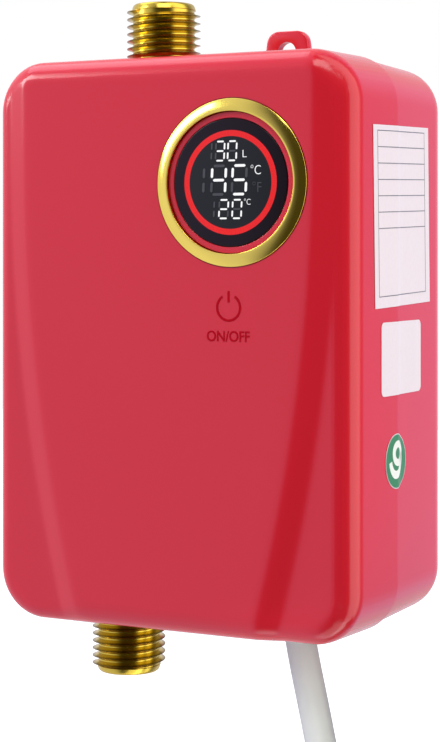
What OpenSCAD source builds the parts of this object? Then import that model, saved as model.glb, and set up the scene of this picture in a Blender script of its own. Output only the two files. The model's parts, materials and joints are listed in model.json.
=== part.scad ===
// Small instant electric water heater: two moulded shells, a dial display,
// brass pipe connections at the top and bottom, and a mains cord.
// The origin lies on the wall plane behind the middle of the housing.
// Y points into the wall, X to the right seen from the front, Z up.

/* [Housing] */
// Width of the housing at the joint line
body_w = 110.7; // [108:0.1:130]
// Height of the housing without its connections
body_h = 156; // [150:0.5:180]
// Depth from the wall to the raised front panel
body_d = 69; // [67:0.5:80]
// Wall thickness of both shells
wall = 2.5; // [2:0.1:3]
// Corner radius seen from the front
corner_r = 14; // [12.5:0.5:16]
// Fillet round the front face
front_fillet = 6.2; // [3:0.1:7]
// Fillet round the back face
back_fillet = 9; // [4:0.5:9.5]
// Depth of the front shell, from the raised panel to the joint line
front_depth = 30; // [28:0.5:32]
// Step of the rear shell inside the edge of the front shell
joint_step = 0.5; // [0.2:0.1:0.8]
// Draft of the front shell in degrees
front_draft = 0.6; // [0.2:0.1:2]
// Draft of the rear shell in degrees
rear_draft = 1.7; // [0.2:0.1:2.5]
// Distance of the case screws from the sides
screw_side = 9; // [8.5:0.25:10]
// Distance of the case screws from the top and bottom
screw_end = 11; // [10:0.25:13]
// Shank diameter of the case screws
case_screw_d = 3; // [2.5:0.1:3.5]
// Length of the case screws under the head
case_screw_len = 16; // [12:1:20]

/* [Front panel] */
// Height of the raised panel over the side fields
panel_rise = 2.1; // [1:0.1:3]
// Width of the sloping crease beside the raised panel
crease_w = 6; // [3:0.5:9]
// Distance of the crease from the side in its straight upper part
crease_side = 4.7; // [3:0.1:10]
// Radius of the curved lower part of the crease
crease_r = 480; // [400:10:800]
// Height above the middle where the crease starts to curve
crease_start = 53; // [20:1:60]

/* [Wall lug] */
// Sideways place of the lug
lug_x = 4.2; // [-5:0.1:15]
// Diameter of the lug's hole
lug_hole_d = 6; // [4:0.5:8]
// Width of the rim round the lug's hole
lug_rim = 3.25; // [2:0.25:5]
// Thickness of the lug
lug_t = 3; // [2:0.5:5]
// Height of the hole's middle above the top of the housing
lug_rise = 5.8; // [5:0.2:9]
// Spread of the lug's foot on each side
lug_foot = 3; // [1:0.5:5]

/* [Water connections] */
// Outside diameter of the pipe threads
thread_d = 20.955; // [18:0.005:24]
// Distance of the inlet's axis from the left side
inlet_side = 26.8; // [26.2:0.1:29]
// Distance of the outlet's axis from the left side
outlet_side = 38.4; // [37:0.1:41]
// Length of the inlet thread below the housing
inlet_len = 16.4; // [14:0.1:26]
// Length of the outlet thread above the housing
outlet_len = 16.1; // [14:0.1:26]
// Bore at the mouth of the connections
mouth_d = 13; // [10:0.5:15]
// Diameter of the spigots inside the housing
spigot_d = 14; // [13:0.2:14.6]
// Bore of the spigots
spigot_bore_d = 9; // [6:0.5:10]
// Length of the spigots behind the collar face
spigot_len = 14; // [12:0.5:16]
// Diameter of the moulded collars round the connections
collar_d = 26; // [24:0.5:30]
// Height of the moulded collars over the housing
collar_rise = 0.6; // [0.4:0.1:2]
// Section of the sealing rings on the spigots
oring_d = 1.2; // [0.8:0.1:1.6]

/* [Display] */
// Distance of the dial's middle from the right side
dial_side = 34.6; // [33:0.1:36]
// Distance of the dial's middle from the top
dial_top = 35; // [33:0.1:45]
// Outside diameter of the bezel
bezel_d = 44.4; // [43.8:0.1:48]
// Width of the bezel's face
bezel_w = 3.4; // [2.5:0.1:4.5]
// Height of the bezel over the panel
bezel_rise = 1.2; // [0.8:0.1:2]
// Width of the trim ring inside the bezel
trim_w = 1.7; // [1.2:0.1:2]
// Outside diameter of the light ring
light_outer_d = 27.6; // [26:0.1:30]
// Inside diameter of the light ring
light_inner_d = 24.4; // [22:0.1:25.5]
// Thickness of the display lens
lens_t = 2; // [1.6:0.1:3]
// Depth of the light ring in the lens
light_t = 1.2; // [0.8:0.1:1.4]
// Width and height of the digit module
digit_size = 21; // [18:0.5:21.5]
// Distance of the touch key below the dial's middle
touch_drop = 32.6; // [31:0.1:38]
// Diameter of the touch electrode
touch_d = 10; // [6:0.5:12]
// Thickness of the circuit boards
board_t = 1.6; // [1:0.1:2]
// Gap between the front wall and the display board
board_gap = 3.4; // [3:0.1:5]

/* [Tank] */
// Outside diameter of the heating tank
tank_d = 42; // [41:0.5:43]
// Wall of the heating tank
tank_wall = 2.5; // [2:0.1:3]
// Thickness of the tank's flange and of its cap
flange_t = 6; // [4:0.5:7]
// Thickness of the tank's flat seal
seal_t = 1; // [0.6:0.1:1.5]
// Diameter of the heating tubes
tube_d = 6; // [5:0.5:6.5]
// Radius of the inner heating tube's bend
inner_bend = 9; // [8:0.5:9.5]
// Radius of the outer heating tube's bend
outer_bend = 13; // [12.5:0.25:13.5]
// Gap between the heating tubes' bends and the tank's bottom
tube_gap = 7; // [5:0.5:12]
// Diameter of the probe of the temperature sensors
probe_d = 4; // [3:0.5:5]
// Length of the probes inside the tank
probe_len = 14; // [8:1:20]
// Shank diameter of the tank screws
tank_screw_d = 3; // [2.5:0.1:3.5]

/* [Flow sensor] */
// Outside diameter of the flow sensor's chamber
chamber_d = 22; // [21:0.5:24]
// Bore of the flow sensor's chamber
chamber_bore_d = 13.6; // [13:0.2:15]
// Length of the chamber between its two guides
chamber_len = 18; // [16:0.5:20]
// Diameter of the turbine
rotor_d = 12.4; // [10:0.2:12.6]
// Length of the turbine's hub
rotor_len = 12; // [8:0.5:14]
// Diameter of the turbine's hub
hub_d = 4.4; // [4:0.2:5]
// Diameter of the turbine's pin
pin_d = 2; // [1.5:0.1:2.4]
// Number of turbine blades
blades = 5; // [3:1:7]
// Pitch angle of the blades
blade_angle = 35; // [20:1:45]
// Thickness of the blades
blade_t = 1; // [0.8:0.1:1.4]
// Diameter of the tank's lower port
port_d = 17; // [15:0.5:18]
// Length of the tank's lower port
port_len = 8; // [6:0.5:10]

/* [Thermal cut-out] */
// Diameter of the cut-out's base
cutout_d = 16; // [14:0.5:17]
// Length of the cut-out
cutout_len = 10; // [8:0.5:12]
// Diameter of the reset button
reset_d = 4; // [3:0.25:5]
// Height of the reset button over the cut-out
reset_rise = 2.2; // [2:0.1:3]
// Travel of the reset button
reset_travel = 1.2; // [0.8:0.1:1.5]

/* [Control board] */
// Height of the control board
control_h = 96; // [90:1:100]
// Gap between the rear wall and the control board
control_gap = 20; // [17:0.5:21]
// Width of the power relay
relay_w = 20; // [16:0.5:22]
// Height of the power relay
relay_h = 24; // [20:0.5:26]
// Depth of the power relay
relay_d = 17; // [14:0.5:18]
// Diameter of the smoothing capacitor
cap_d = 10; // [8:0.5:11]
// Length of the smoothing capacitor
cap_len = 14; // [10:0.5:16]
// Diameter of the buzzer
buzzer_d = 12; // [9:0.5:13]
// Height of the buzzer
buzzer_h = 8; // [6:0.5:10]
// Width of the terminal block
terminal_w = 25; // [24:0.5:27]
// Height of the terminal block
terminal_h = 14; // [12:0.5:16]
// Depth of the terminal block
terminal_d = 15; // [12:0.5:16]

/* [Cord] */
// Diameter of the mains cord
cord_d = 8.5; // [7:0.1:9]
// Distance of the cord's gland from the right side
gland_side = 29; // [27:0.5:32]
// Diameter of the gland's collar
gland_d = 17; // [15:0.5:19]
// Length of the gland inside the housing
gland_in = 14; // [12:0.5:16]
// Length of the gland outside the housing
gland_out = 3; // [2:0.2:4]
// Turns of the put-away cord in each of its two layers
layer_turns = 1.75; // [1.75:1:3.75]
// Radius of the outermost turn
coil_r = 54; // [50:0.5:58]
// Gap between neighbouring turns
turn_gap = 0.8; // [0.7:0.1:1.2]
// Straight end of the cord below the coil
coil_tail = 22; // [20:0.5:30]
// Width of the cord tie
tie_w = 8; // [4:0.5:12]

/* [Plug] */
// Width of the plug
plug_w = 27; // [26:0.5:30]
// Thickness of the plug
plug_t = 24; // [22:0.5:26]
// Length of the plug's body
plug_len = 34; // [28:0.5:42]
// Length of the plug's strain relief
relief_len = 22; // [20:0.5:30]
// Spacing of the two blades
blade_pitch = 12.7; // [12:0.1:13.5]
// Width of a blade
pin_blade_w = 6.35; // [5:0.05:7]
// Thickness of a blade
pin_blade_t = 1.5; // [1.2:0.1:1.8]
// Length of a blade
pin_blade_len = 16.3; // [14:0.1:18]
// Diameter of the earth pin
earth_d = 4.75; // [4:0.05:5]
// Length of the earth pin
earth_len = 18.5; // [16:0.1:20]
// Distance of the earth pin from the line of the blades
earth_drop = 11.9; // [11:0.1:12.5]

/* [Hidden] */

// Smoothness of exact round forms and of the faceted shells
fine = 64;
shell_fn = 40;
// Radial clearance between pieces that slide into each other
fit = 0.1;
// Radial clearance of screws in their holes
screw_fit = 0.05;
// Radial running clearance of the turbine on its pin
run_fit = 0.05;
// Overlap that makes a cut or a joint clean
eps = 0.5;
// Reach of cutting bodies past what they cut
far = 400;

// Planes and sides of the housing
front_y = -body_d;
field_y = front_y + panel_rise;
part_y = front_y + front_depth;
inner_front_y = field_y + wall;
inner_back_y = -wall;
corner_x = body_w / 2 - corner_r;
corner_z = body_h / 2 - corner_r;

// Inset of the rear shell's outer face at depth y
function rear_inset(y) = joint_step + tan(rear_draft) * (y - part_y);
// Inset of the front shell's outer face at depth y
function front_inset(y) = tan(front_draft) * (part_y - y);

// Axes of the water connections, the dial, the touch key and the gland
axis_y = part_y;
inlet_x = -body_w / 2 + inlet_side;
outlet_x = -body_w / 2 + outlet_side;
dial_x = body_w / 2 - dial_side;
dial_z = body_h / 2 - dial_top;
touch_z = dial_z - touch_drop;
gland_x = body_w / 2 - gland_side;

// Ends of the housing at the joint line, outside and inside
end_z = body_h / 2;
inner_end_z = end_z - rear_inset(part_y + collar_d / 2) - wall;
collar_z = end_z + collar_rise;
spigot_z = collar_z - spigot_len;

// Case screws, their posts and bosses
screw_x = body_w / 2 - screw_side;
screw_z = body_h / 2 - screw_end;
screw_floor = 6;
screw_seat_y = part_y + screw_floor;
screw_head_d = 1.9 * case_screw_d;
screw_head_t = 0.8 * case_screw_d;
head_room = 0.4;
screw_hole = 9;
boss_wall = 1.2;
boss_d = screw_head_d + 2 * head_room + 2 * boss_wall;
post_wall = 2;
post_d = case_screw_d + 2 * post_wall;

// Seal in the joint between the shells
seal_w = 0.8;
seal_depth = 1.1;
seal_inset = joint_step + 0.8;

// Display stack, from the front to the back
bezel_r = bezel_d / 2;
bezel_inner_r = bezel_r - bezel_w;
sleeve_t = 1;
sleeve_r = bezel_inner_r + sleeve_t;
dial_hole_r = sleeve_r + fit;
trim_r = bezel_inner_r - fit;
lens_r = trim_r - trim_w - fit;
lens_proud = 0.4;
lens_y = front_y - lens_proud;
lens_back_y = lens_y + lens_t;
ledge_w = 1.3;
ledge_t = 2.2;
trim_back_y = lens_back_y + ledge_t;
board_y = inner_front_y + board_gap;
board_half_w = 21;
board_margin = 8;
board_top_z = dial_z + board_half_w;
board_low_z = touch_z - board_margin;
board_hole_inset = 2.6;
small_screw_d = 2;
small_head_d = 3.8;
small_head_t = 1.3;
small_post_d = 4.6;
lip_t = 2;
sleeve_end_y = trim_back_y + lip_t;

// Left column of pieces that carry water, from the bottom to the top
socket_wall = 1.7;
socket_d = spigot_d + 2 * fit + 2 * socket_wall;
spigot_gap = 0.4;
socket_floor_z = -spigot_z + spigot_gap;
socket_gap = 1.6;
socket_low_z = -inner_end_z + socket_gap;
guide_t = 2;
filter_t = 1.2;
chamber_low_z = socket_floor_z + filter_t;
spider_z = chamber_low_z + guide_t;
guide_z = spider_z + chamber_len;
port_seat_z = guide_z + guide_t;
tank_low_z = port_seat_z + port_len;
bottom_t = 3;
tank_x = (inlet_x + outlet_x) / 2;
tank_r = tank_d / 2;
tank_bore_r = tank_r - tank_wall;
cap_neck = 6;
cap_socket_floor_z = spigot_z - spigot_gap;
cap_top_z = cap_socket_floor_z - cap_neck;
cap_low_z = cap_top_z - flange_t;
tank_top_z = cap_low_z - seal_t;
ear_r = 3.4;
ear_reach = tank_r + 2.3;
rotor_low_z = spider_z + (chamber_len - rotor_len) / 2;
axial_gap = 0.3;
hall_reach = chamber_d / 2 + 1;

// Heating tubes: place of each hairpin beside the tank's axis
inner_tube_x = -8;
outer_tube_x = 3;
tube_low_z = tank_low_z + bottom_t + tube_gap;
terminal_pin_d = 3;
terminal_rise = 9;

// Flat pads on the tank for the cut-out and the triac
pad_reach = 2;
pad_x = tank_x + tank_r + pad_reach;
pad_half_w = 9.5;
pad_screw = 5;
cutout_z = 18;
ear_margin = 3;
cutout_screw_reach = cutout_d / 2 + ear_margin;
cutout_ear_reach = cutout_screw_reach + ear_margin;
cutout_pad_h = 2 * cutout_ear_reach + 2;
triac_z = -8;
triac_pad_h = 20;
triac_w = 10;
triac_h = 15;
triac_t = 4.4;
triac_tab_t = 1.3;
triac_screw_rise = 5.2;

// Control board beside the tank
reset_room = 1.5;
control_left = pad_x + cutout_len + reset_rise + reset_room;
control_y = inner_back_y - control_gap;
control_face_y = control_y - board_t;
board_side = 2;
control_right = body_w / 2 - rear_inset(control_y) - wall - board_side;
clamp_room = 12;
control_low_z = -inner_end_z + gland_in + clamp_room;
control_top_z = control_low_z + control_h;
control_mid_x = (control_left + control_right) / 2;
part_gap = 4;

// Gland, clamp and the inner end of the cord
cord_r = cord_d / 2;
gland_wall = 2.5;
gland_neck_d = cord_d + 2 * gland_wall;
gland_low_z = -end_z - gland_out;
gland_top_z = -inner_end_z + gland_in;
gland_flange_t = 3;
seat_gap = 0.1;
clamp_w = 28;
clamp_h = 6;
clamp_t = 3;
clamp_gap = 1.5;
clamp_z = gland_top_z + clamp_gap;
clamp_screw_x = 10.5;
clamp_screw_d = 3;
tail_top_z = clamp_z + clamp_h + clamp_gap;
lead_d = 2.6;
lead_pitch = 8;
lead_seat = 4;
lead_height = 5;
terminal_lead_y = control_face_y - lead_height;

// Route of the hanging cord from the gland's mouth: sideways and down
route = [
  [0, 0], [0.2, -3.5], [0.9, -7.5], [1.9, -11.5], [3.3, -17.5], [4.7, -23.5], [6.1, -29.5],
  [7.5, -35.5], [8.8, -41.5], [9.9, -47.5], [10.8, -53.5], [11.5, -59.5], [12, -65.5],
  [12.3, -71.5], [12.4, -77.5], [12.4, -84], [12.4, -91]
];
cord_sides = 10;
coil_sides = 6;
rings_per_turn = 24;
route_end = route[len(route) - 1];
turn_pitch = cord_d + turn_gap;
layer_pitch = cord_d + turn_gap;
coil_start_x = gland_x + route_end[0];
coil_x = coil_start_x + coil_r;
coil_z = gland_low_z + route_end[1] - cord_d;
coil_front_y = axis_y;
coil_back_y = axis_y + layer_pitch;

// Plug below the coil's end
plug_top_z = coil_z - coil_tail;
plug_body_z = plug_top_z - relief_len;
plug_face_z = plug_body_z - plug_len;
plug_corner = 5;
blade_y = earth_drop / 3;
earth_y = blade_y - earth_drop;
blade_seat = 8;

// A bar along Y from y0 to y1
module rod_y(d, y0, y1) {
  translate([0, y0, 0])
    rotate([-90, 0, 0])
      cylinder(d = d, h = y1 - y0, $fn = fine);
}

// A bar along X from x0 to x1
module rod_x(d, x0, x1) {
  translate([x0, 0, 0])
    rotate([0, 90, 0])
      cylinder(d = d, h = x1 - x0, $fn = fine);
}

// A bar along Z from z0 to z1
module rod_z(d, z0, z1) {
  translate([0, 0, z0])
    cylinder(d = d, h = z1 - z0, $fn = fine);
}

// A block between two corners
module block(low, high) {
  translate(low)
    cube(high - low);
}

// A profile of radius and depth turned round the Y axis
module turned_y(points) {
  rotate([-90, 0, 0])
    rotate_extrude($fn = fine)
      polygon(points);
}

// Copies at the four corners of a rectangle in the front view
module corners(x, z) {
  for (sx = [-1, 1], sz = [-1, 1])
    translate([sx * x, 0, sz * z])
      children();
}

// Points of a quarter arc from angle a0 to a1
function arc(cx, cy, r, a0, a1, steps) =
  [for (i = [0:steps]) [cx + r * cos(a0 + (a1 - a0) * i / steps), cy + r * sin(a0 + (a1 - a0) * i / steps)]];

// A hull over four round corner columns with the given profile
module column_hull(points) {
  hull()
    corners(corner_x, corner_z)
      rotate([-90, 0, 0])
        rotate_extrude($fn = shell_fn)
          polygon(points);
}

// Front shell's outer form with its face at face_y, taken in by inset, down to back_y
module front_form(face_y, inset, back_y) {
  face_r = corner_r - front_inset(face_y) - inset;
  fillet = max(front_fillet - inset, 1);
  column_hull(concat(
    [[0, face_y]],
    arc(face_r - fillet, face_y + fillet, fillet, -90, 0, 6),
    [[corner_r - front_inset(back_y) - inset, back_y], [0, back_y]]
  ));
}

// Rear shell's outer form, taken in by inset, from the joint to back_y
module rear_form(inset, front, back_y) {
  fillet = max(back_fillet - inset, 1);
  back_r = corner_r - rear_inset(back_y) - inset;
  column_hull(concat(
    [[0, front], [corner_r - rear_inset(front) - inset, front]],
    arc(back_r - fillet, back_y - fillet, fillet, 0, 90, 6),
    [[0, back_y]]
  ));
}

// Space under the sloping crease on one side of the front
module crease_limit() {
  slope = crease_w / panel_rise;
  foot_x = body_w / 2 - crease_side;
  over = 1;
  run = part_y - front_y + 2 * over;
  low_r = crease_r - crease_w - slope * over;
  translate([foot_x - crease_r, front_y - over, crease_start])
    rotate([-90, 0, 0])
      cylinder(h = run, r1 = low_r, r2 = low_r + slope * run, $fn = 240);
  translate([0, 0, crease_start])
    linear_extrude(body_h)
      polygon([
        [-far, front_y - over],
        [foot_x - crease_w - slope * over, front_y - over],
        [foot_x - crease_w - slope * over + slope * run, front_y - over + run],
        [-far, front_y - over + run]
      ]);
}

module front_shell() {
  // The raised panel narrows toward the bottom between two curved creases
  side_gap = 0.04;
  field_back_y = part_y - 2;
  color("crimson")
    difference() {
      union() {
        intersection() {
          front_form(front_y, 0, part_y);
          crease_limit();
          mirror([1, 0, 0])
            crease_limit();
        }
        front_form(field_y, side_gap, field_back_y);
        half_collars(-1);
      }
      difference() {
        front_form(inner_front_y, wall, part_y + eps);
        corners(screw_x, screw_z)
          rod_y(post_d, inner_front_y - eps, part_y);
        display_posts();
      }
      corners(screw_x, screw_z)
        rod_y(case_screw_d + 2 * screw_fit, screw_seat_y - case_screw_len - 1, part_y + eps);
      translate([dial_x, 0, dial_z])
        rod_y(2 * dial_hole_r, front_y - eps, inner_front_y + eps);
      display_places()
        rod_y(small_screw_d + 2 * screw_fit, inner_front_y - 1, board_y + eps);
      end_holes();
    }
}

// The two water connections: sideways place and end of the housing
ports = [[inlet_x, -1], [outlet_x, 1]];

// Half collars under the connections, before or behind the joint line
module half_collars(side) {
  for (port = ports)
    intersection() {
      translate([port[0], axis_y, port[1] > 0 ? end_z - wall : -collar_z])
        cylinder(d = collar_d, h = collar_rise + wall, $fn = fine);
      translate([port[0], part_y + side * collar_d, 0])
        cube([2 * collar_d, 2 * collar_d, 2 * body_h], center = true);
    }
}

// Holes on the joint line for the connections and the gland
module end_holes() {
  over = 2;
  for (port = ports)
    translate([port[0], axis_y, port[1] > 0 ? inner_end_z - over : -collar_z - over])
      cylinder(d = spigot_d + 4 * fit, h = collar_z - inner_end_z + 2 * over, $fn = fine);
  translate([gland_x, axis_y, -end_z - over])
    cylinder(d = gland_neck_d + 2 * fit, h = end_z - inner_end_z + 2 * over, $fn = fine);
}

// Places of the display board's four screws
module display_places() {
  for (sx = [-1, 1], z = [board_low_z + board_hole_inset, board_top_z - board_hole_inset])
    translate([dial_x + sx * (board_half_w - board_hole_inset), 0, z])
      children();
}

module display_posts() {
  display_places()
    rod_y(small_post_d, inner_front_y - eps, board_y);
}

module rear_shell() {
  color("crimson")
    difference() {
      union() {
        rear_form(0, part_y, 0);
        wall_lug();
        half_collars(1);
      }
      difference() {
        rear_form(wall, part_y - eps, inner_back_y);
        corners(screw_x, screw_z)
          rod_y(boss_d, part_y, 0);
        tank_saddles();
        control_posts();
        clamp_saddle();
      }
      rear_holes();
      end_holes();
      seal_ring(fit, seal_depth + fit);
    }
}

// Loop at the top edge of the back for a wall screw
module wall_lug() {
  half_w = lug_hole_d / 2 + lug_rim;
  hole_z = body_h / 2 + lug_rise;
  foot_z = body_h / 2 - back_fillet;
  round_r = lug_rim;
  round_x = half_w - round_r;
  round_z = hole_z + half_w - round_r;
  translate([lug_x, 0, 0])
    rotate([90, 0, 0])
      linear_extrude(lug_t) {
        for (sx = [-1, 1])
          translate([sx * round_x, round_z])
            circle(r = round_r, $fn = fine);
        translate([-round_x, round_z])
          square([2 * round_x, round_r]);
        polygon([
          [-half_w - lug_foot, foot_z], [half_w + lug_foot, foot_z],
          [half_w, round_z], [-half_w, round_z]
        ]);
      }
}

module rear_holes() {
  translate([lug_x, 0, body_h / 2 + lug_rise])
    rod_y(lug_hole_d, -lug_t - eps, eps);
  corners(screw_x, screw_z) {
    rod_y(case_screw_d + 2 * screw_fit, part_y - eps, screw_seat_y + eps);
    rod_y(screw_head_d + 2 * head_room, screw_seat_y, eps);
  }
  control_places()
    rod_y(small_screw_d + 2 * screw_fit, control_y - eps, control_y + screw_hole);
  for (sx = [-1, 1])
    translate([gland_x + sx * clamp_screw_x, 0, clamp_z + clamp_h / 2])
      rod_y(clamp_screw_d + 2 * screw_fit, axis_y, axis_y + cord_r + screw_hole);
}

// Two ribs that carry the tank
module tank_saddles() {
  saddle_t = 3;
  saddle_half_w = 14;
  low_place = 12;
  high_place = 22;
  for (z = [tank_low_z + low_place, tank_top_z - high_place])
    difference() {
      block([tank_x - saddle_half_w, axis_y, z], [tank_x + saddle_half_w, 0, z + saddle_t]);
      translate([tank_x, axis_y, 0])
        rod_z(tank_d + 2 * fit, z - 1, z + saddle_t + 1);
    }
}

// Places of the control board's four screws
module control_places() {
  inset = 3;
  for (x = [control_left + inset, control_right - inset], z = [control_low_z + inset, control_top_z - inset])
    translate([x, 0, z])
      children();
}

module control_posts() {
  control_places()
    rod_y(small_post_d + 1, control_y, 0);
}

// Ledge under the inner end of the cord
module clamp_saddle() {
  block(
    [gland_x - clamp_w / 2, axis_y + cord_r + fit, clamp_z],
    [gland_x + clamp_w / 2, 0, clamp_z + clamp_h]
  );
}

// Rounded rectangle of the front view, taken in from the housing's sides
module face_outline(inset) {
  r = corner_r - inset;
  square([2 * corner_x, 2 * (corner_z + r)], center = true);
  square([2 * (corner_x + r), 2 * corner_z], center = true);
  for (sx = [-1, 1], sz = [-1, 1])
    translate([sx * corner_x, sz * corner_z])
      circle(r = r, $fn = fine);
}

// Ring along the joint line, widened by gap on each side
module seal_ring(gap, depth) {
  translate([0, part_y + depth, 0])
    rotate([90, 0, 0])
      linear_extrude(depth)
        difference() {
          face_outline(seal_inset - gap);
          face_outline(seal_inset + seal_w + gap);
          for (port = ports)
            seal_break(port, collar_d - 2 * gap);
          seal_break([gland_x, -1], gland_d - 2 * gap);
        }
}

// Gap in the seal where a round piece passes the joint line
module seal_break(place, width) {
  translate([place[0], place[1] * end_z])
    square([width, width], center = true);
}

module case_seal() {
  color("dimgray")
    seal_ring(0, seal_depth);
}

// A screw along Y with its head toward the back
module screw_y(shank_d, len, head_d, head_t) {
  rod_y(shank_d, -len, 0);
  rod_y(head_d, 0, head_t);
}

module case_screws() {
  color("silver")
    corners(screw_x, screw_z)
      translate([0, screw_seat_y, 0])
        screw_y(case_screw_d, case_screw_len, screw_head_d, screw_head_t);
}

module bezel_ring() {
  // Plated ring with a sloping face and a sleeve that snaps into the front wall
  edge_rise = 0.5;
  bead = 0.5;
  bead_y = inner_front_y + fit;
  lip_w = 1;
  color("goldenrod")
    translate([dial_x, 0, dial_z])
      turned_y([
        [bezel_inner_r, front_y - edge_rise],
        [bezel_inner_r + 0.6, front_y - bezel_rise],
        [bezel_r - 0.8, front_y - bezel_rise],
        [bezel_r, front_y - edge_rise],
        [bezel_r, front_y],
        [sleeve_r, front_y],
        [sleeve_r, bead_y],
        [sleeve_r + bead, bead_y + bead],
        [sleeve_r, sleeve_end_y],
        [bezel_inner_r - lip_w, sleeve_end_y],
        [bezel_inner_r - lip_w, trim_back_y],
        [bezel_inner_r, trim_back_y]
      ]);
}

module display_trim() {
  color("firebrick")
    translate([dial_x, 0, dial_z])
      turned_y([
        [trim_r - trim_w, lens_y + 0.2],
        [trim_r, lens_y + 0.2],
        [trim_r, trim_back_y],
        [lens_r - ledge_w, trim_back_y],
        [lens_r - ledge_w, lens_back_y],
        [trim_r - trim_w, lens_back_y]
      ]);
}

module display_lens() {
  color("black")
    translate([dial_x, 0, dial_z])
      difference() {
        rod_y(2 * lens_r, lens_y, lens_back_y);
        light_band(fit, lens_y - eps, lens_y + light_t);
      }
}

// Band of the light ring, widened by gap
module light_band(gap, y0, y1) {
  difference() {
    rod_y(light_outer_d + 2 * gap, y0, y1);
    rod_y(light_inner_d - 2 * gap, y0 - 1, y1 + 1);
  }
}

module light_ring() {
  color("red")
    translate([dial_x, 0, dial_z])
      light_band(0, lens_y, lens_y + light_t);
}

module digit_module() {
  half = digit_size / 2;
  color("darkslategray")
    translate([dial_x, 0, dial_z])
      block([-half, lens_back_y, -half], [half, board_y, half]);
}

module display_board() {
  color("darkgreen")
    difference() {
      block(
        [dial_x - board_half_w, board_y, board_low_z],
        [dial_x + board_half_w, board_y + board_t, board_top_z]
      );
      display_places()
        rod_y(small_screw_d + 2 * screw_fit, board_y - 1, board_y + board_t + 1);
    }
}

module display_screws() {
  color("silver")
    display_places()
      translate([0, board_y + board_t, 0])
        screw_y(small_screw_d, board_t + board_gap, small_head_d, small_head_t);
}

module touch_electrode() {
  // Hollow sleeve between the board and the wall behind the touch key
  sleeve = 0.6;
  color("peru")
    translate([dial_x, 0, touch_z])
      difference() {
        rod_y(touch_d, inner_front_y, board_y);
        rod_y(touch_d - 2 * sleeve, inner_front_y - 1, board_y + 1);
      }
}

module control_board() {
  color("darkgreen")
    difference() {
      block([control_left, control_face_y, control_low_z], [control_right, control_y, control_top_z]);
      control_places()
        rod_y(small_screw_d + 2 * screw_fit, control_face_y - 1, control_y + 1);
    }
}

module control_screws() {
  color("silver")
    control_places()
      translate([0, control_face_y, 0])
        mirror([0, 1, 0])
          screw_y(small_screw_d, screw_hole - 1, small_head_d, small_head_t);
}

// Heights of the pieces on the control board, from the bottom up
terminal_edge = 7;
terminal_low_z = control_low_z + terminal_edge;
supply_low_z = terminal_low_z + terminal_h + part_gap;
supply_h = 18;
supply_w = 22;
supply_d = 14;
relay_low_z = supply_low_z + supply_h + part_gap;
small_low_z = relay_low_z + relay_h + part_gap;
small_spread = 1.5;
pole_d = 4;
pole_depth = 6;

module power_relay() {
  color("royalblue")
    block(
      [control_mid_x - relay_w / 2, control_face_y - relay_d, relay_low_z],
      [control_mid_x + relay_w / 2, control_face_y, relay_low_z + relay_h]
    );
}

module supply_module() {
  // Potted mains supply with a bevelled top
  bevel = 1.5;
  color("gold")
    translate([control_mid_x - supply_w / 2, 0, supply_low_z])
      linear_extrude(supply_h)
        polygon([
          [0, control_face_y], [supply_w, control_face_y],
          [supply_w, control_face_y - supply_d + bevel], [supply_w - bevel, control_face_y - supply_d],
          [bevel, control_face_y - supply_d], [0, control_face_y - supply_d + bevel]
        ]);
}

module smoothing_capacitor() {
  color("midnightblue")
    translate([control_mid_x - cap_d / 2 - small_spread, 0, small_low_z + cap_d / 2])
      rod_y(cap_d, control_face_y - cap_len, control_face_y);
}

module buzzer() {
  vent_d = 2;
  color("black")
    translate([control_mid_x + buzzer_d / 2 + small_spread, 0, small_low_z + buzzer_d / 2])
      difference() {
        rod_y(buzzer_d, control_face_y - buzzer_h, control_face_y);
        rod_y(vent_d, control_face_y - buzzer_h - 1, control_face_y - buzzer_h + vent_d);
      }
}

// Places of the terminal block's three poles
module terminal_places() {
  for (i = [-1, 0, 1])
    translate([gland_x + i * lead_pitch, 0, terminal_low_z + terminal_h / 2])
      children();
}

module terminal_block() {
  color("ivory")
    difference() {
      block(
        [gland_x - terminal_w / 2, control_face_y - terminal_d, terminal_low_z],
        [gland_x + terminal_w / 2, control_face_y, terminal_low_z + terminal_h]
      );
      terminal_places() {
        rod_y(pole_d + 2 * fit, control_face_y - terminal_d - 1, control_face_y - terminal_d + pole_depth);
        translate([0, terminal_lead_y, 0])
          rod_z(lead_d + 2 * fit, -terminal_h, lead_seat + 1 - terminal_h / 2);
      }
    }
}

module terminal_screws() {
  pole_sink = 1.5;
  color("silver")
    terminal_places()
      rod_y(pole_d, control_face_y - terminal_d + pole_sink, control_face_y - terminal_d + pole_depth);
}

module triac() {
  // Flat power device with a drilled tab, on the tank's cool pad
  body_top = 2;
  color("black")
    translate([pad_x, axis_y, triac_z])
      difference() {
        union() {
          block([0, -triac_w / 2, -triac_h / 2], [triac_tab_t, triac_w / 2, triac_h / 2]);
          block([0, -triac_w / 2, -triac_h / 2], [triac_t, triac_w / 2, body_top]);
        }
        translate([0, 0, triac_screw_rise])
          rod_x(small_screw_d + 2 * screw_fit, -1, triac_t + 1);
      }
}

module triac_screw() {
  color("silver")
    translate([pad_x + triac_tab_t, axis_y, triac_z + triac_screw_rise]) {
      rod_x(small_screw_d, -pad_screw, 0);
      rod_x(small_head_d, 0, small_head_t);
    }
}

// Flange outline of the tank and its cap
module flange(z0, z1) {
  difference() {
    union() {
      rod_z(tank_d + 1, z0, z1);
      flange_places()
        rod_z(2 * ear_r, z0, z1);
    }
    flange_places()
      rod_z(tank_screw_d + 2 * screw_fit, z0 - 1, z1 + 1);
  }
}

module flange_places() {
  for (a = [45:90:315])
    rotate(a)
      translate([ear_reach, 0, 0])
        children();
}

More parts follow.
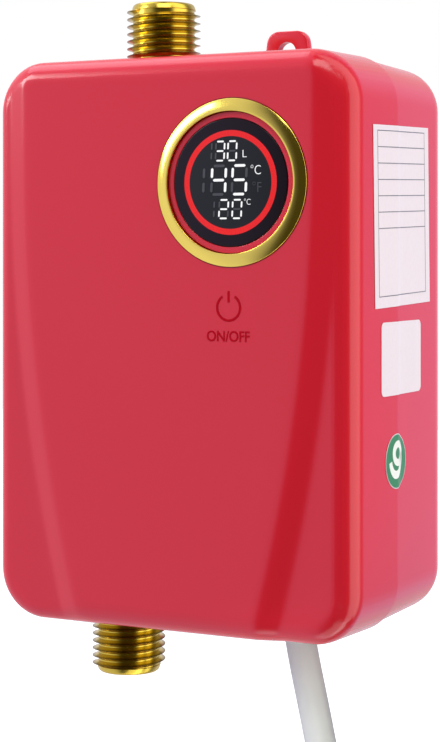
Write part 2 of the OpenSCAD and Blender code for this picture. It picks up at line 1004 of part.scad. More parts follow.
module heating_tank() {
  color("whitesmoke")
    difference() {
      union() {
        translate([tank_x, axis_y, 0]) {
          rod_z(tank_d, tank_low_z, tank_top_z);
          flange(tank_top_z - flange_t, tank_top_z);
        }
        translate([inlet_x, axis_y, 0])
          rod_z(port_d, port_seat_z + spigot_gap, tank_low_z + 1);
        tank_pad(cutout_z, cutout_pad_h);
        tank_pad(triac_z, triac_pad_h);
      }
      translate([tank_x, axis_y, 0])
        rod_z(2 * tank_bore_r, tank_low_z + bottom_t, tank_top_z + 1);
      translate([inlet_x, axis_y, 0])
        rod_z(port_d - 2 * tank_wall, port_seat_z - 1, tank_low_z + bottom_t + 1);
      translate([tank_x + inlet_probe_x, axis_y, 0])
        rod_z(probe_d + 2 * fit, tank_low_z - 1, tank_low_z + bottom_t + 1);
      cutout_places()
        rod_x(small_screw_d + 2 * screw_fit, pad_x - pad_screw, pad_x + 1);
      translate([pad_x, axis_y, triac_z + triac_screw_rise])
        rod_x(small_screw_d + 2 * screw_fit, -pad_screw, 1);
    }
}

// Flat pad on the right side of the tank
module tank_pad(z, h) {
  block(
    [tank_x + tank_bore_r * 0.9, axis_y - pad_half_w, z - h / 2],
    [pad_x, axis_y + pad_half_w, z + h / 2]
  );
}

module tank_cap() {
  color("whitesmoke")
    difference() {
      union() {
        translate([tank_x, axis_y, 0])
          flange(cap_low_z, cap_top_z);
        translate([outlet_x, axis_y, 0])
          rod_z(socket_d + 2, cap_top_z - 1, inner_end_z - socket_gap);
      }
      translate([outlet_x, axis_y, 0]) {
        rod_z(spigot_d + 2 * fit, cap_socket_floor_z, inner_end_z);
        rod_z(spigot_bore_d, cap_low_z - 1, cap_socket_floor_z + 1);
      }
      tube_places()
        rod_z(tube_d + 2 * fit, cap_low_z - 1, cap_top_z + 1);
      translate([tank_x + outlet_probe_x, axis_y, 0])
        rod_z(probe_d + 2 * fit, cap_low_z - 1, cap_top_z + 1);
    }
}

module tank_seal() {
  margin = 0.2;
  color("orangered")
    translate([tank_x, axis_y, 0])
      difference() {
        rod_z(tank_d - 2 * margin, tank_top_z, cap_low_z);
        rod_z(2 * (tank_bore_r + margin), tank_top_z - 1, cap_low_z + 1);
      }
}

module tank_screws() {
  past = 3;
  head_t = 2;
  len = 2 * flange_t + seal_t + past;
  color("silver")
    translate([tank_x, axis_y, cap_top_z])
      flange_places() {
        rod_z(tank_screw_d, -len, 0);
        rod_z(1.8 * tank_screw_d, 0, head_t);
      }
}

// The two hairpins: sideways place and bend radius
hairpins = [[inner_tube_x, inner_bend], [outer_tube_x, outer_bend]];

// Places of the four tube ends in the cap
module tube_places() {
  for (pin = hairpins, side = [-1, 1])
    translate([tank_x + pin[0], axis_y + side * pin[1], 0])
      children();
}

module heating_tubes() {
  color("lightsteelblue")
    for (pin = hairpins)
      translate([tank_x + pin[0], axis_y, 0])
        hairpin(pin[1]);
}

// One bent heating tube with its two terminal pins
module hairpin(bend) {
  bend_z = tube_low_z + bend + tube_d / 2;
  for (side = [-1, 1])
    translate([0, side * bend, 0]) {
      rod_z(tube_d, bend_z, cap_top_z + 3);
      rod_z(terminal_pin_d, cap_top_z + 2, cap_top_z + terminal_rise);
    }
  translate([0, 0, bend_z])
    rotate([90, 0, 90])
      rotate_extrude(angle = -180, $fn = fine)
        translate([bend, 0])
          circle(d = tube_d, $fn = fine);
}

// Sideways places of the two temperature sensors
outlet_probe_x = -14;
inlet_probe_x = 13;
sensor_head = 4;

// A screwed-in sensor along Z: the head lies from 0 to head, the probe reaches the other way
module sensor(head, probe) {
  rod_z(probe_d, min(0, probe), max(0, probe));
  translate([0, 0, min(0, head)])
    cylinder(d = 2 * probe_d, h = abs(head), $fn = 6);
}

module outlet_sensor() {
  color("goldenrod")
    translate([tank_x + outlet_probe_x, axis_y, cap_top_z])
      sensor(sensor_head, -flange_t - probe_len);
}

module inlet_sensor() {
  color("goldenrod")
    translate([tank_x + inlet_probe_x, axis_y, tank_low_z])
      sensor(-sensor_head, bottom_t + tube_gap - 2);
}

// Places of the two screws beside the cut-out
module cutout_places() {
  for (side = [-1, 1])
    translate([0, axis_y, cutout_z + side * cutout_screw_reach])
      children();
}

cutout_base_t = 4;
reset_bore_fit = 0.1;

module thermal_cutout() {
  // Snap disc cut-out with two ears and two tabs on its cap
  cap_r = cutout_d / 2 - 1.5;
  tab_t = 0.8;
  tab_w = 5;
  color("saddlebrown")
    translate([pad_x, axis_y, cutout_z])
      difference() {
        union() {
          block([0, -3, -cutout_ear_reach], [1, 3, cutout_ear_reach]);
          rod_x(cutout_d, 0, cutout_base_t);
          rod_x(2 * cap_r, cutout_base_t - 1, cutout_len);
          for (side = [-1, 1])
            translate([0, side * (cap_r - 1), 0])
              block([cutout_len - 1, -tab_t / 2, -tab_w / 2], [cutout_len + 4, tab_t / 2, tab_w / 2]);
        }
        rod_x(reset_d + 2 * reset_bore_fit, cutout_base_t, cutout_len + 1);
        for (side = [-1, 1])
          translate([0, 0, side * cutout_screw_reach])
            rod_x(small_screw_d + 2 * screw_fit, -1, 2);
      }
}

module reset_button() {
  // Sliding button that is pressed to reset the cut-out
  free = reset_travel + 0.5;
  color("red")
    translate([pad_x, axis_y, cutout_z])
      rod_x(reset_d, cutout_base_t + free, cutout_len + reset_rise);
}

module cutout_screws() {
  color("silver")
    translate([pad_x + 1, 0, 0])
      cutout_places() {
        rod_x(small_screw_d, -pad_screw, 0);
        rod_x(small_head_d, 0, small_head_t);
      }
}

// A pipe connection with its shoulder at 0 and its mouth at len
module nipple(len) {
  chamfer = 1.2;
  bore_step = 1.5;
  ring_z = -spigot_len / 2;
  difference() {
    rotate_extrude($fn = fine)
      polygon([
        [0, -spigot_len], [spigot_d / 2, -spigot_len],
        [spigot_d / 2, ring_z - oring_d / 2 - fit], [ring_seat_r, ring_z - oring_d / 2 - fit],
        [ring_seat_r, ring_z + oring_d / 2 + fit], [spigot_d / 2, ring_z + oring_d / 2 + fit],
        [spigot_d / 2, 0], [thread_d / 2, 0],
        [thread_d / 2, len - chamfer], [thread_d / 2 - chamfer, len], [0, len]
      ]);
    rod_z(mouth_d, bore_step, len + 1);
    rod_z(spigot_bore_d, -spigot_len - 1, bore_step + 1);
  }
}

ring_room = 0.05;
ring_seat_r = spigot_d / 2 + fit - oring_d - 2 * ring_room;

module outlet_nipple() {
  color("darkgoldenrod")
    translate([outlet_x, axis_y, collar_z])
      nipple(outlet_len);
}

module inlet_nipple() {
  color("darkgoldenrod")
    translate([inlet_x, axis_y, -collar_z])
      mirror([0, 0, 1])
        nipple(inlet_len);
}

module nipple_seals() {
  color("black")
    for (port = ports)
      translate([port[0], axis_y, port[1] * (collar_z - spigot_len / 2)])
        rotate_extrude($fn = fine)
          translate([ring_seat_r + oring_d / 2 + ring_room, 0])
            circle(d = oring_d, $fn = 32);
}

module inlet_filter() {
  // Sieve disc between the inlet's spigot and the flow sensor
  hole_d = 1.6;
  ring = 3.4;
  color("silver")
    translate([inlet_x, axis_y, 0])
      difference() {
        rod_z(spigot_d, socket_floor_z, chamber_low_z);
        for (a = [0:45:315])
          rotate(a)
            translate([ring, 0, 0])
              rod_z(hole_d, socket_floor_z - 1, chamber_low_z + 1);
        rod_z(hole_d, socket_floor_z - 1, chamber_low_z + 1);
      }
}

// Wheel with three arms and a drilled hub, from hub0 to hub1, that holds the turbine's pin
module spider_arms(z0, z1, reach, hub0, hub1) {
  arm_t = 1.2;
  difference() {
    union() {
      rod_z(hub_d, hub0, hub1);
      for (a = [90:120:330])
        rotate(a)
          block([0, -arm_t / 2, z0], [reach, arm_t / 2, z1]);
    }
    rod_z(pin_d + 2 * screw_fit, hub0 - 1, hub1 + 1);
  }
}

module flow_chamber() {
  pad_w = 14;
  pad_h = 14;
  arm_step = 0.5;
  arm_reach = chamber_bore_d / 2 + 1.5;
  mid_z = spider_z + chamber_len / 2;
  color("gainsboro")
    translate([inlet_x, axis_y, 0]) {
      difference() {
        union() {
          rod_z(chamber_d, chamber_low_z, tank_low_z);
          rod_z(socket_d, socket_low_z, chamber_low_z + 1);
          block([-pad_w / 2, -hall_reach, mid_z - pad_h / 2], [pad_w / 2, 0, mid_z + pad_h / 2]);
        }
        rod_z(spigot_d + 2 * fit, socket_low_z - 1, chamber_low_z);
        rod_z(chamber_bore_d, chamber_low_z - 1, tank_low_z + 1);
        rod_z(port_d + 2 * fit, port_seat_z, tank_low_z + 1);
      }
      spider_arms(chamber_low_z + arm_step, spider_z, arm_reach, chamber_low_z, rotor_low_z - axial_gap);
    }
}

module flow_guide() {
  rim = 1;
  ring_d = chamber_bore_d - 2 * fit;
  hub_z = rotor_low_z + rotor_len + axial_gap;
  color("white")
    translate([inlet_x, axis_y, 0]) {
      difference() {
        rod_z(ring_d, guide_z, port_seat_z);
        rod_z(ring_d - 2 * rim, guide_z - 1, port_seat_z + 1);
      }
      spider_arms(guide_z, port_seat_z, ring_d / 2 - rim / 2, hub_z, port_seat_z);
    }
}

module rotor_pin() {
  color("silver")
    translate([inlet_x, axis_y, 0])
      rod_z(pin_d, chamber_low_z, port_seat_z);
}

module turbine_rotor() {
  // Axial turbine: flat pitched blades on a hub, trimmed to a cylinder
  color("black")
    translate([inlet_x, axis_y, rotor_low_z])
      difference() {
        union() {
          rod_z(hub_d, 0, rotor_len);
          intersection() {
            rod_z(rotor_d, 0, rotor_len);
            for (i = [0:blades - 1])
              rotate(i * 360 / blades)
                translate([0, 0, rotor_len / 2])
                  rotate([blade_angle, 0, 0])
                    block([0, -blade_t / 2, -rotor_len], [rotor_d, blade_t / 2, rotor_len]);
          }
        }
        rod_z(pin_d + 2 * run_fit, -1, rotor_len + 1);
      }
}

module hall_sensor() {
  half_w = 5;
  half_h = 4;
  thick = 4;
  face_y = axis_y - hall_reach;
  mid_z = spider_z + chamber_len / 2;
  color("black")
    block([inlet_x - half_w, face_y - thick, mid_z - half_h], [inlet_x + half_w, face_y, mid_z + half_h]);
}

module cord_gland() {
  // Tapered bush that grips the cord in the bottom wall
  collar_r = gland_d / 2;
  neck_r = gland_neck_d / 2;
  color("lightgray")
    translate([gland_x, axis_y, 0])
      difference() {
        rotate_extrude($fn = fine)
          polygon([
            [0, gland_low_z], [neck_r - 1, gland_low_z], [collar_r, -end_z - seat_gap],
            [neck_r, -end_z - seat_gap], [neck_r, -inner_end_z + seat_gap],
            [collar_r, -inner_end_z + seat_gap], [collar_r, -inner_end_z + seat_gap + gland_flange_t],
            [neck_r, gland_top_z], [0, gland_top_z]
          ]);
        rod_z(cord_d + 2 * fit, gland_low_z - 1, gland_top_z + 1);
      }
}

module cord_tail() {
  // Inner end of the cord, from the gland's mouth to where its leads part
  color("gainsboro")
    translate([gland_x, axis_y, 0])
      rod_z(cord_d, gland_low_z, tail_top_z);
}

module cord_clamp() {
  back_y = axis_y - cord_r - fit;
  color("white")
    translate([gland_x, 0, clamp_z])
      difference() {
        block([-clamp_w / 2, back_y - clamp_t, 0], [clamp_w / 2, back_y, clamp_h]);
        for (sx = [-1, 1])
          translate([sx * clamp_screw_x, 0, clamp_h / 2])
            rod_y(clamp_screw_d + 2 * screw_fit, back_y - clamp_t - 1, axis_y);
      }
}

module clamp_screws() {
  grip = 8;
  head_t = 2;
  color("silver")
    for (sx = [-1, 1])
      translate([gland_x + sx * clamp_screw_x, axis_y - cord_r - fit - clamp_t, clamp_z + clamp_h / 2]) {
        rod_y(clamp_screw_d, 0, clamp_t + cord_d + 2 * fit + grip);
        rod_y(1.8 * clamp_screw_d, -head_t, 0);
      }
}

// A lead from the cord's inner end up into one pole of the terminal block
module lead(pole) {
  steps = 8;
  start = [gland_x + pole * lead_d * 1.05, axis_y, tail_top_z];
  bend = [gland_x + pole * lead_pitch, terminal_lead_y, terminal_low_z - 1];
  path = concat(
    [for (i = [0:steps])
      let (s = i / steps, ease = s * s * (3 - 2 * s))
      [start[0] + (bend[0] - start[0]) * ease, start[1] + (bend[1] - start[1]) * ease,
        start[2] + (bend[2] - start[2]) * s]],
    [[bend[0], bend[1], terminal_low_z + lead_seat]]
  );
  swept_tube(path, lead_d, 8);
}

module live_lead() {
  color("saddlebrown")
    lead(-1);
}

module neutral_lead() {
  color("steelblue")
    lead(1);
}

module earth_lead() {
  color("yellowgreen")
    lead(0);
}

// Faces of a tube from rings of points
function tube_faces(rings, sides) = concat(
  [for (i = [0:rings - 2], j = [0:sides - 1])
    [i * sides + j, i * sides + (j + 1) % sides, (i + 1) * sides + j]],
  [for (i = [0:rings - 2], j = [0:sides - 1])
    [i * sides + (j + 1) % sides, (i + 1) * sides + (j + 1) % sides, (i + 1) * sides + j]],
  [for (j = [1:sides - 2]) [0, j + 1, j]],
  [for (j = [1:sides - 2]) [(rings - 1) * sides, (rings - 1) * sides + j, (rings - 1) * sides + j + 1]]
);

// Direction of a path at point i
function path_way(path, i) =
  let (way = path[min(i + 1, len(path) - 1)] - path[max(i - 1, 0)])
  way / norm(way);

// A tube swept along a path that never runs along Y and whose ends are upright
module swept_tube(path, d, sides) {
  end_way = sign(path[len(path) - 1][2] - path[0][2]);
  points = [
    for (i = [0:len(path) - 1], j = [0:sides - 1])
      let (
        way = i == 0 || i == len(path) - 1 ? [0, 0, end_way] : path_way(path, i),
        side = cross([0, 1, 0], way) / norm(cross([0, 1, 0], way)),
        depth = cross(way, side),
        a = 360 * (j + 0.5) / sides
      )
      path[i] + d / 2 * (cos(a) * side + sin(a) * depth)
  ];
  polyhedron(points, tube_faces(len(path), sides));
}

cord_path = [for (p = route) [gland_x + p[0], axis_y, gland_low_z + p[1]]];

module power_cord() {
  color("gainsboro")
    swept_tube(cord_path, cord_d, cord_sides);
}

// Radius and depth of the coil after a number of turns
reverse_turns = 0.5;
coil_turns = 2 * layer_turns + reverse_turns;
coil_inner_r = coil_r - turn_pitch * layer_turns;
function coil_radius(t) =
  t < layer_turns ? coil_r - turn_pitch * t
  : t > layer_turns + reverse_turns ? coil_inner_r + turn_pitch * (t - layer_turns - reverse_turns)
  : let (s = t - layer_turns) coil_inner_r - turn_pitch * s * (1 - s / reverse_turns);
function coil_depth(t) =
  let (s = min(max((t - layer_turns) / reverse_turns, 0), 1))
  coil_front_y + (coil_back_y - coil_front_y) * s * s * (3 - 2 * s);

coil_steps = round(coil_turns * rings_per_turn);
coil_path = concat(
  [[coil_start_x, coil_front_y, coil_z + cord_d]],
  [for (i = [0:coil_steps])
    let (t = i / rings_per_turn, a = 180 + 360 * t)
    [coil_x + coil_radius(t) * cos(a), coil_depth(t), coil_z + coil_radius(t) * sin(a)]],
  [[coil_start_x, coil_back_y, coil_z - coil_tail / 2], [coil_start_x, coil_back_y, coil_z - coil_tail]]
);

// Least gap between coil points at least half a turn apart along the cord
apart = rings_per_turn / 2;
coil_gap = min([
  for (i = [0:len(coil_path) - 1 - apart], j = [i + apart:len(coil_path) - 1])
    norm(coil_path[i] - coil_path[j])
]) - cord_d;

module cord_coil() {
  echo(coil_gap = coil_gap);
  color("gainsboro")
    swept_tube(coil_path, cord_d, coil_sides);
}

module cord_tie() {
  // Strap round the turns at the top of the coil
  room = 0.7;
  strap = 1.2;
  low_r = coil_inner_r - turn_pitch / 4 - cord_d / 2 - room;
  high_r = coil_r - turn_pitch / 4 + cord_d / 2 + room;
  near_y = coil_front_y - cord_d / 2 - room;
  back_y = coil_back_y + cord_d / 2 + room;
  color("dimgray")
    translate([coil_x, 0, coil_z])
      difference() {
        block([-tie_w / 2, near_y - strap, low_r - strap], [tie_w / 2, back_y + strap, high_r + strap]);
        block([-tie_w, near_y, low_r], [tie_w, back_y, high_r]);
      }
}

// Outline of the plug seen along its blades
module plug_outline() {
  x = plug_w / 2 - plug_corner;
  y = plug_t / 2 - plug_corner;
  square([2 * x, plug_t], center = true);
  square([plug_w, 2 * y], center = true);
  for (sx = [-1, 1], sy = [-1, 1])
    translate([sx * x, sy * y])
      circle(r = plug_corner, $fn = fine);
}

module plug_body() {
  // Moulded plug with a tapered, ringed strain relief
  low_r = cord_r + 3;
  top_r = cord_r + 1;
  ribs = 4;
  groove = 0.4;
  color("gainsboro")
    translate([coil_start_x, coil_back_y, 0])
      difference() {
        union() {
          translate([0, 0, plug_face_z])
            linear_extrude(plug_len)
              plug_outline();
          translate([0, 0, plug_body_z - eps])
            cylinder(h = relief_len + eps, r1 = low_r - 2 * groove, r2 = top_r - groove, $fn = fine);
          for (i = [0:ribs - 1])
            rod_z(2 * (low_r - (low_r - top_r) * (i + 0.6) / ribs),
              plug_body_z + relief_len * (i + 0.35) / ribs, plug_body_z + relief_len * (i + 0.85) / ribs);
        }
        plug_slots();
      }
}

// Seats of the blades and of the earth pin in the plug
module plug_slots() {
  for (sx = [-1, 1])
    translate([sx * blade_pitch / 2, blade_y, 0])
      block(
        [-pin_blade_t / 2 - fit, -pin_blade_w / 2 - fit, plug_face_z - 1],
        [pin_blade_t / 2 + fit, pin_blade_w / 2 + fit, plug_face_z + blade_seat]
      );
  translate([0, earth_y, 0])
    rod_z(earth_d + 2 * fit, plug_face_z - 1, plug_face_z + blade_seat);
}

module plug_blades() {
  color("silver")
    for (sx = [-1, 1])
      translate([coil_start_x + sx * blade_pitch / 2, coil_back_y + blade_y, 0])
        block(
          [-pin_blade_t / 2, -pin_blade_w / 2, plug_face_z - pin_blade_len],
          [pin_blade_t / 2, pin_blade_w / 2, plug_face_z + blade_seat]
        );
}

module plug_earth_pin() {
  tip = 1.2;
  pin_r = earth_d / 2;
  pin_low_z = plug_face_z - earth_len;
  pin_top_z = plug_face_z + blade_seat;
  color("silver")
    translate([coil_start_x, coil_back_y + earth_y, 0])
      rotate_extrude($fn = fine)
        polygon([
          [0, pin_low_z],
          [pin_r - tip, pin_low_z],
          [pin_r, pin_low_z + tip],
          [pin_r, pin_top_z],
          [0, pin_top_z]
        ]);
}

front_shell();
rear_shell();
case_seal();
case_screws();
bezel_ring();
display_trim();
display_lens();
light_ring();
digit_module();
display_board();
display_screws();
touch_electrode();
control_board();
control_screws();
power_relay();
supply_module();
smoothing_capacitor();
buzzer();
terminal_block();
terminal_screws();
triac();
triac_screw();
heating_tank();
tank_cap();
tank_seal();
tank_screws();
heating_tubes();
outlet_sensor();
inlet_sensor();
thermal_cutout();
reset_button();
cutout_screws();
outlet_nipple();
inlet_nipple();
nipple_seals();
inlet_filter();
flow_chamber();
flow_guide();
rotor_pin();
turbine_rotor();
hall_sensor();
cord_gland();
cord_tail();
cord_clamp();
clamp_screws();
live_lead();
neutral_lead();
earth_lead();
power_cord();
cord_coil();
cord_tie();
plug_body();
plug_blades();
plug_earth_pin();
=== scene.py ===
"""A small wall-hung instant water heater in red plastic, with a gold-ringed display and brass pipe ends.

Sizes inside each section are in millimetres, and each mesh is scaled to metres when its piece is made.
"""
import json
import math

import bmesh
import bpy
from mathutils import Matrix, Vector


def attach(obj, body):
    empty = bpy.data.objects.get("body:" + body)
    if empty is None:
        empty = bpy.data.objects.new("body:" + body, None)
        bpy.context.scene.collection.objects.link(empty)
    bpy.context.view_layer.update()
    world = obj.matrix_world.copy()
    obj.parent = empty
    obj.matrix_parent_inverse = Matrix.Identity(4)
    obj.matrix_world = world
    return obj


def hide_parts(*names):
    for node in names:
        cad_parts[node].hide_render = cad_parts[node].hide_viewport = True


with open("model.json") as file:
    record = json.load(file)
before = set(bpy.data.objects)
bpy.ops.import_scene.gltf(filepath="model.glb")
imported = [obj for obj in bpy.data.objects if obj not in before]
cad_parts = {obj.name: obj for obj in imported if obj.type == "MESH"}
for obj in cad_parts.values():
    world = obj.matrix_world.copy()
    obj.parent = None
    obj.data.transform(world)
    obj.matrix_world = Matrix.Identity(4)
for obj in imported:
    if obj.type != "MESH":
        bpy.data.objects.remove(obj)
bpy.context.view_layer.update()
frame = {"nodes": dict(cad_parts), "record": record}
scene = bpy.context.scene

# Camera: a long lens, level with the lower edge of the dial, to the right of the heater.
# The frame is shifted down so that upright edges stay upright, as in a catalogue picture.
camera_data = bpy.data.cameras.new("camera")
camera_data.lens = 96.1
camera_data.sensor_width = 36
camera_data.shift_y = -0.1638
camera = bpy.data.objects.new("camera", camera_data)
camera.location = (0.26639, -0.52779, 0.0254)
camera.rotation_euler = (math.radians(90), 0, math.radians(28.477))
scene.collection.objects.link(camera)
scene.camera = camera
scene.view_settings.view_transform = "Standard"


# Studio: a tilted soft light on the left, one overhead, one high at the back left and a weak one below.
# The surround is pale and dark walls by bearing, a spot and a dark card model the round of the cord, and
# the pale floor lies far below the hanging plug.
class Shade:
    """A shader socket that takes part in Python arithmetic; node() adds any other node."""

    def __init__(self, tree, socket=None):
        self.tree = tree
        self.socket = socket

    def node(self, kind, settings=(), inputs=(), output=0):
        made = self.tree.nodes.new("ShaderNode" + kind)
        settings = dict(settings)
        stops = settings.pop("stops", None)
        for name, value in settings.items():
            setattr(made, name, value)
        if stops:
            for place, colour in stops[2:]:
                made.color_ramp.elements.new(place)
            for element, (place, colour) in zip(made.color_ramp.elements, sorted(stops)):
                element.position = place
                element.color = colour
        for name, value in dict(inputs).items():
            if isinstance(value, Shade):
                self.tree.links.new(value.socket, made.inputs[name])
            else:
                made.inputs[name].default_value = value
        return Shade(self.tree, made.outputs[output])

    def math(self, operation, *values):
        return self.node("Math", {"operation": operation}, dict(enumerate(values)))

    def __add__(self, other):
        return self.math("ADD", self, other)

    def __sub__(self, other):
        return self.math("SUBTRACT", self, other)

    def __rsub__(self, other):
        return self.math("SUBTRACT", other, self)

    def __mul__(self, other):
        return self.math("MULTIPLY", self, other)

    def __lt__(self, other):
        return self.math("LESS_THAN", self, other)

    __radd__ = __add__
    __rmul__ = __mul__


def hang(data, place, aim, roll=0):
    """Hangs a light in the studio, turned towards a point of the object."""
    light = bpy.data.objects.new(data.name, data)
    light.location = place
    facing = (Vector(aim) - Vector(place)).to_track_quat("-Z", "Y").to_matrix()
    light.rotation_euler = (facing @ Matrix.Rotation(math.radians(roll), 3, "Z")).to_euler()
    scene.collection.objects.link(light)


def softbox(name, place, aim, width, height, power, tint=(1, 1, 1), roll=0):
    """A rectangular light; its sizes are in metres and its roll is in degrees."""
    data = bpy.data.lights.new(name, "AREA")
    data.shape = "RECTANGLE"
    data.size = width
    data.size_y = height
    data.energy = power
    data.color = tint
    hang(data, place, aim, roll)


softbox("left_key", (-0.947, -0.639, 0.525), (0, -0.07, 0.045), 0.36, 0.74, 8.4, roll=-45)
softbox("overhead_softbox", (0.35, -0.65, 0.9), (0, -0.06, 0), 0.7, 0.5, 5.6)
softbox("floor_bounce", (0.12, -0.12, -0.41), (0, -0.06, -0.08), 0.3, 0.3, 0.45)
softbox("upper_left_softbox", (-0.62, 0.014, 1), (0, -0.05, 0.06), 0.75, 0.6, 3.3, (0.8, 0.86, 1))
spot = bpy.data.lights.new("cord_spot", "SPOT")
spot.energy = 13
spot.spot_size = math.radians(8)
spot.spot_blend = 1
spot.shadow_soft_size = 0.02
hang(spot, (0.26, -0.484, -0.25), (0.031, -0.039, -0.105))

world = bpy.data.worlds.new("studio")
world.use_nodes = True
scene.world = world
sky = Shade(world.node_tree)
heading = sky.node("TexCoord")
east = sky.node("SeparateXYZ", (), {0: heading})
north = sky.node("SeparateXYZ", (), {0: heading}, 1)
bearing = sky.math("ARCTAN2", east, north * -1) * (0.5 / math.pi) + 0.5
back_wall = (0.75, 0.75, 0.8)
front_wall = (0.06, 0.055, 0.03)
right_wall = (2.05, 2.05, 2.05)
walls = [
    (-180, back_wall), (-120, (0.85, 0.85, 0.94)), (-50, (0.9, 0.92, 1.25)), (-25, (0.72, 0.74, 1.02)),
    (-5, (0.12, 0.12, 0.14)), (4, front_wall), (60, front_wall), (74, right_wall), (120, right_wall),
    (131, (0.2, 0.2, 0.26)), (148, (0.32, 0.32, 0.48)), (155, (0.5, 0.52, 0.8)), (168, (0.78, 0.8, 1.2)),
    (180, back_wall),
]
stops = [(angle / 360 + 0.5, (*colour, 1)) for angle, colour in walls]
walls_light = sky.node("ValToRGB", {"stops": stops}, {0: bearing})
camera_ray = sky.node("LightPath")
seen_white = (0.91, 0.91, 0.91, 1)
surround = sky.node("Mix", {"data_type": "RGBA"}, {0: camera_ray, 6: walls_light, 7: seen_white}, 2)
background = world.node_tree.nodes["Background"].inputs
world.node_tree.links.new(surround.socket, background["Color"])
background["Strength"].default_value = 1.1


def finish(name, colour, roughness, **constants):
    """A principled material; returns it, its shader's inputs and a Shade for its tree."""
    material = bpy.data.materials.new(name)
    material.use_nodes = True
    shader = material.node_tree.nodes["Principled BSDF"].inputs
    shader["Base Color"].default_value = (*colour, 1)
    shader["Roughness"].default_value = roughness
    for socket, value in constants.items():
        shader[socket.replace("_", " ").title().replace("Ior", "IOR")].default_value = value
    return material, shader, Shade(material.node_tree)


def mesh_data(mesh, name):
    """Turns a bmesh into mesh data and frees it."""
    data = bpy.data.meshes.new(name)
    mesh.to_mesh(data)
    mesh.free()
    return data


def stage_card(name, size, matrix, grey, glow=0):
    """A flat square card of the studio; it stands outside the object."""
    mesh = bmesh.new()
    bmesh.ops.create_grid(mesh, x_segments=1, y_segments=1, size=size, matrix=matrix)
    data = mesh_data(mesh, name)
    material, shader, shade = finish(name + "_finish", (grey, grey, grey), 0.8, emission_strength=glow)
    shader["Emission Color"].default_value = (1, 1, 1, 1)
    data.materials.append(material)
    stood = bpy.data.objects.new(name, data)
    scene.collection.objects.link(stood)
    return stood


floor = stage_card("floor", 12, Matrix.Translation((0, 0, -1.2)), 0.7, 0.62)
floor.visible_diffuse = False
floor.visible_glossy = False
floor.visible_shadow = False
beside_cord = Matrix.Translation((0.08, -0.04, -0.12)) @ Matrix.Rotation(math.pi / 2, 4, "Y")
flag = stage_card("cord_flag", 0.035, beside_cord, 0.08)
flag.visible_camera = False
flag.visible_glossy = False


# Mains cord: grey sheathed three-core lead, 8.5 mm thick. It hangs from its bush in the bottom
# joint, and its spare length is wound in two flat layers and tied, with the plug at its end.
def noise(shade, scale, detail=3.0, stretch=(1, 1, 1)):
    """Noise laid over the object's own space, with so many features to a metre."""
    place = shade.node("TexCoord", (), (), 3)
    if stretch != (1, 1, 1):
        place = shade.node("Mapping", (), {"Vector": place, "Scale": stretch})
    return shade.node("TexNoise", (), {"Vector": place, "Scale": scale, "Detail": detail})


def feed(shade, socket, value):
    """Links a value to an input of the shader."""
    shade.tree.links.new(value.socket, socket)


def bump(shade, shader, height, strength, distance):
    """Fine surface grain; the distance is in metres."""
    normal = shade.node("Bump", (), {"Strength": strength, "Distance": distance, "Height": height})
    feed(shade, shader["Normal"], normal)


def blend(shade, factor, first, second):
    """A mix of two colours by a factor."""
    return shade.node("Mix", {"data_type": "RGBA"}, {0: factor, 6: (*first, 1), 7: (*second, 1)}, 2)


def vinyl(name, dark, light):
    """Soft extruded sheath: a faint mottle, a fine pebble and a satin sheen."""
    material, shader, shade = finish(name, dark, 0.45, specular_ior_level=0.15)
    mottle = noise(shade, 60)
    feed(shade, shader["Base Color"], blend(shade, mottle, dark, light))
    feed(shade, shader["Roughness"], mottle * 0.2 + 0.36)
    bump(shade, shader, noise(shade, 2600, 2.0), 0.12, 0.0001)
    return material


cord_d = 8.5
bush_mouth = (26.35, -39, -81)
route = [
    (0, 0), (0.65, -3.5), (1.5, -7.5), (2.4, -11.5), (3.8, -17.5), (5.15, -23.5), (6.45, -29.5),
    (7.7, -35.5), (8.85, -41.5), (9.9, -47.5), (10.8, -53.5), (11.5, -59.5), (12, -65.5),
    (12.3, -71.5), (12.4, -77.5), (12.4, -84), (12.4, -91),
]
coil_r = 54
turn_pitch = 9.3
layer_turns = 1.75
reverse_turns = 0.5
rings_per_turn = 72
coil_tail = 22
coil_start_x = bush_mouth[0] + route[-1][0]
coil_z = bush_mouth[2] + route[-1][1] - cord_d
coil_back_y = bush_mouth[1] + turn_pitch
inner_r = coil_r - turn_pitch * layer_turns
cord_points = [Vector((bush_mouth[0] + x, bush_mouth[1], bush_mouth[2] + z)) for x, z in route]
for ring in range(round((2 * layer_turns + reverse_turns) * rings_per_turn) + 1):
    turn = ring / rings_per_turn
    inward = turn - layer_turns
    climb = min(max(inward / reverse_turns, 0), 1)
    if turn < layer_turns:
        radius = coil_r - turn_pitch * turn
    elif climb < 1:
        radius = inner_r - turn_pitch * inward * (1 - inward / reverse_turns)
    else:
        radius = inner_r + turn_pitch * (inward - reverse_turns)
    angle = math.pi + math.tau * turn
    depth = bush_mouth[1] + turn_pitch * climb * climb * (3 - 2 * climb)
    x = coil_start_x + coil_r + radius * math.cos(angle)
    cord_points.append(Vector((x, depth, coil_z + radius * math.sin(angle))))
cord_points.append(Vector((coil_start_x, coil_back_y, coil_z - coil_tail / 2)))
cord_points.append(Vector((coil_start_x, coil_back_y, coil_z - coil_tail)))
cord_points = [point / 1000 for point in cord_points]

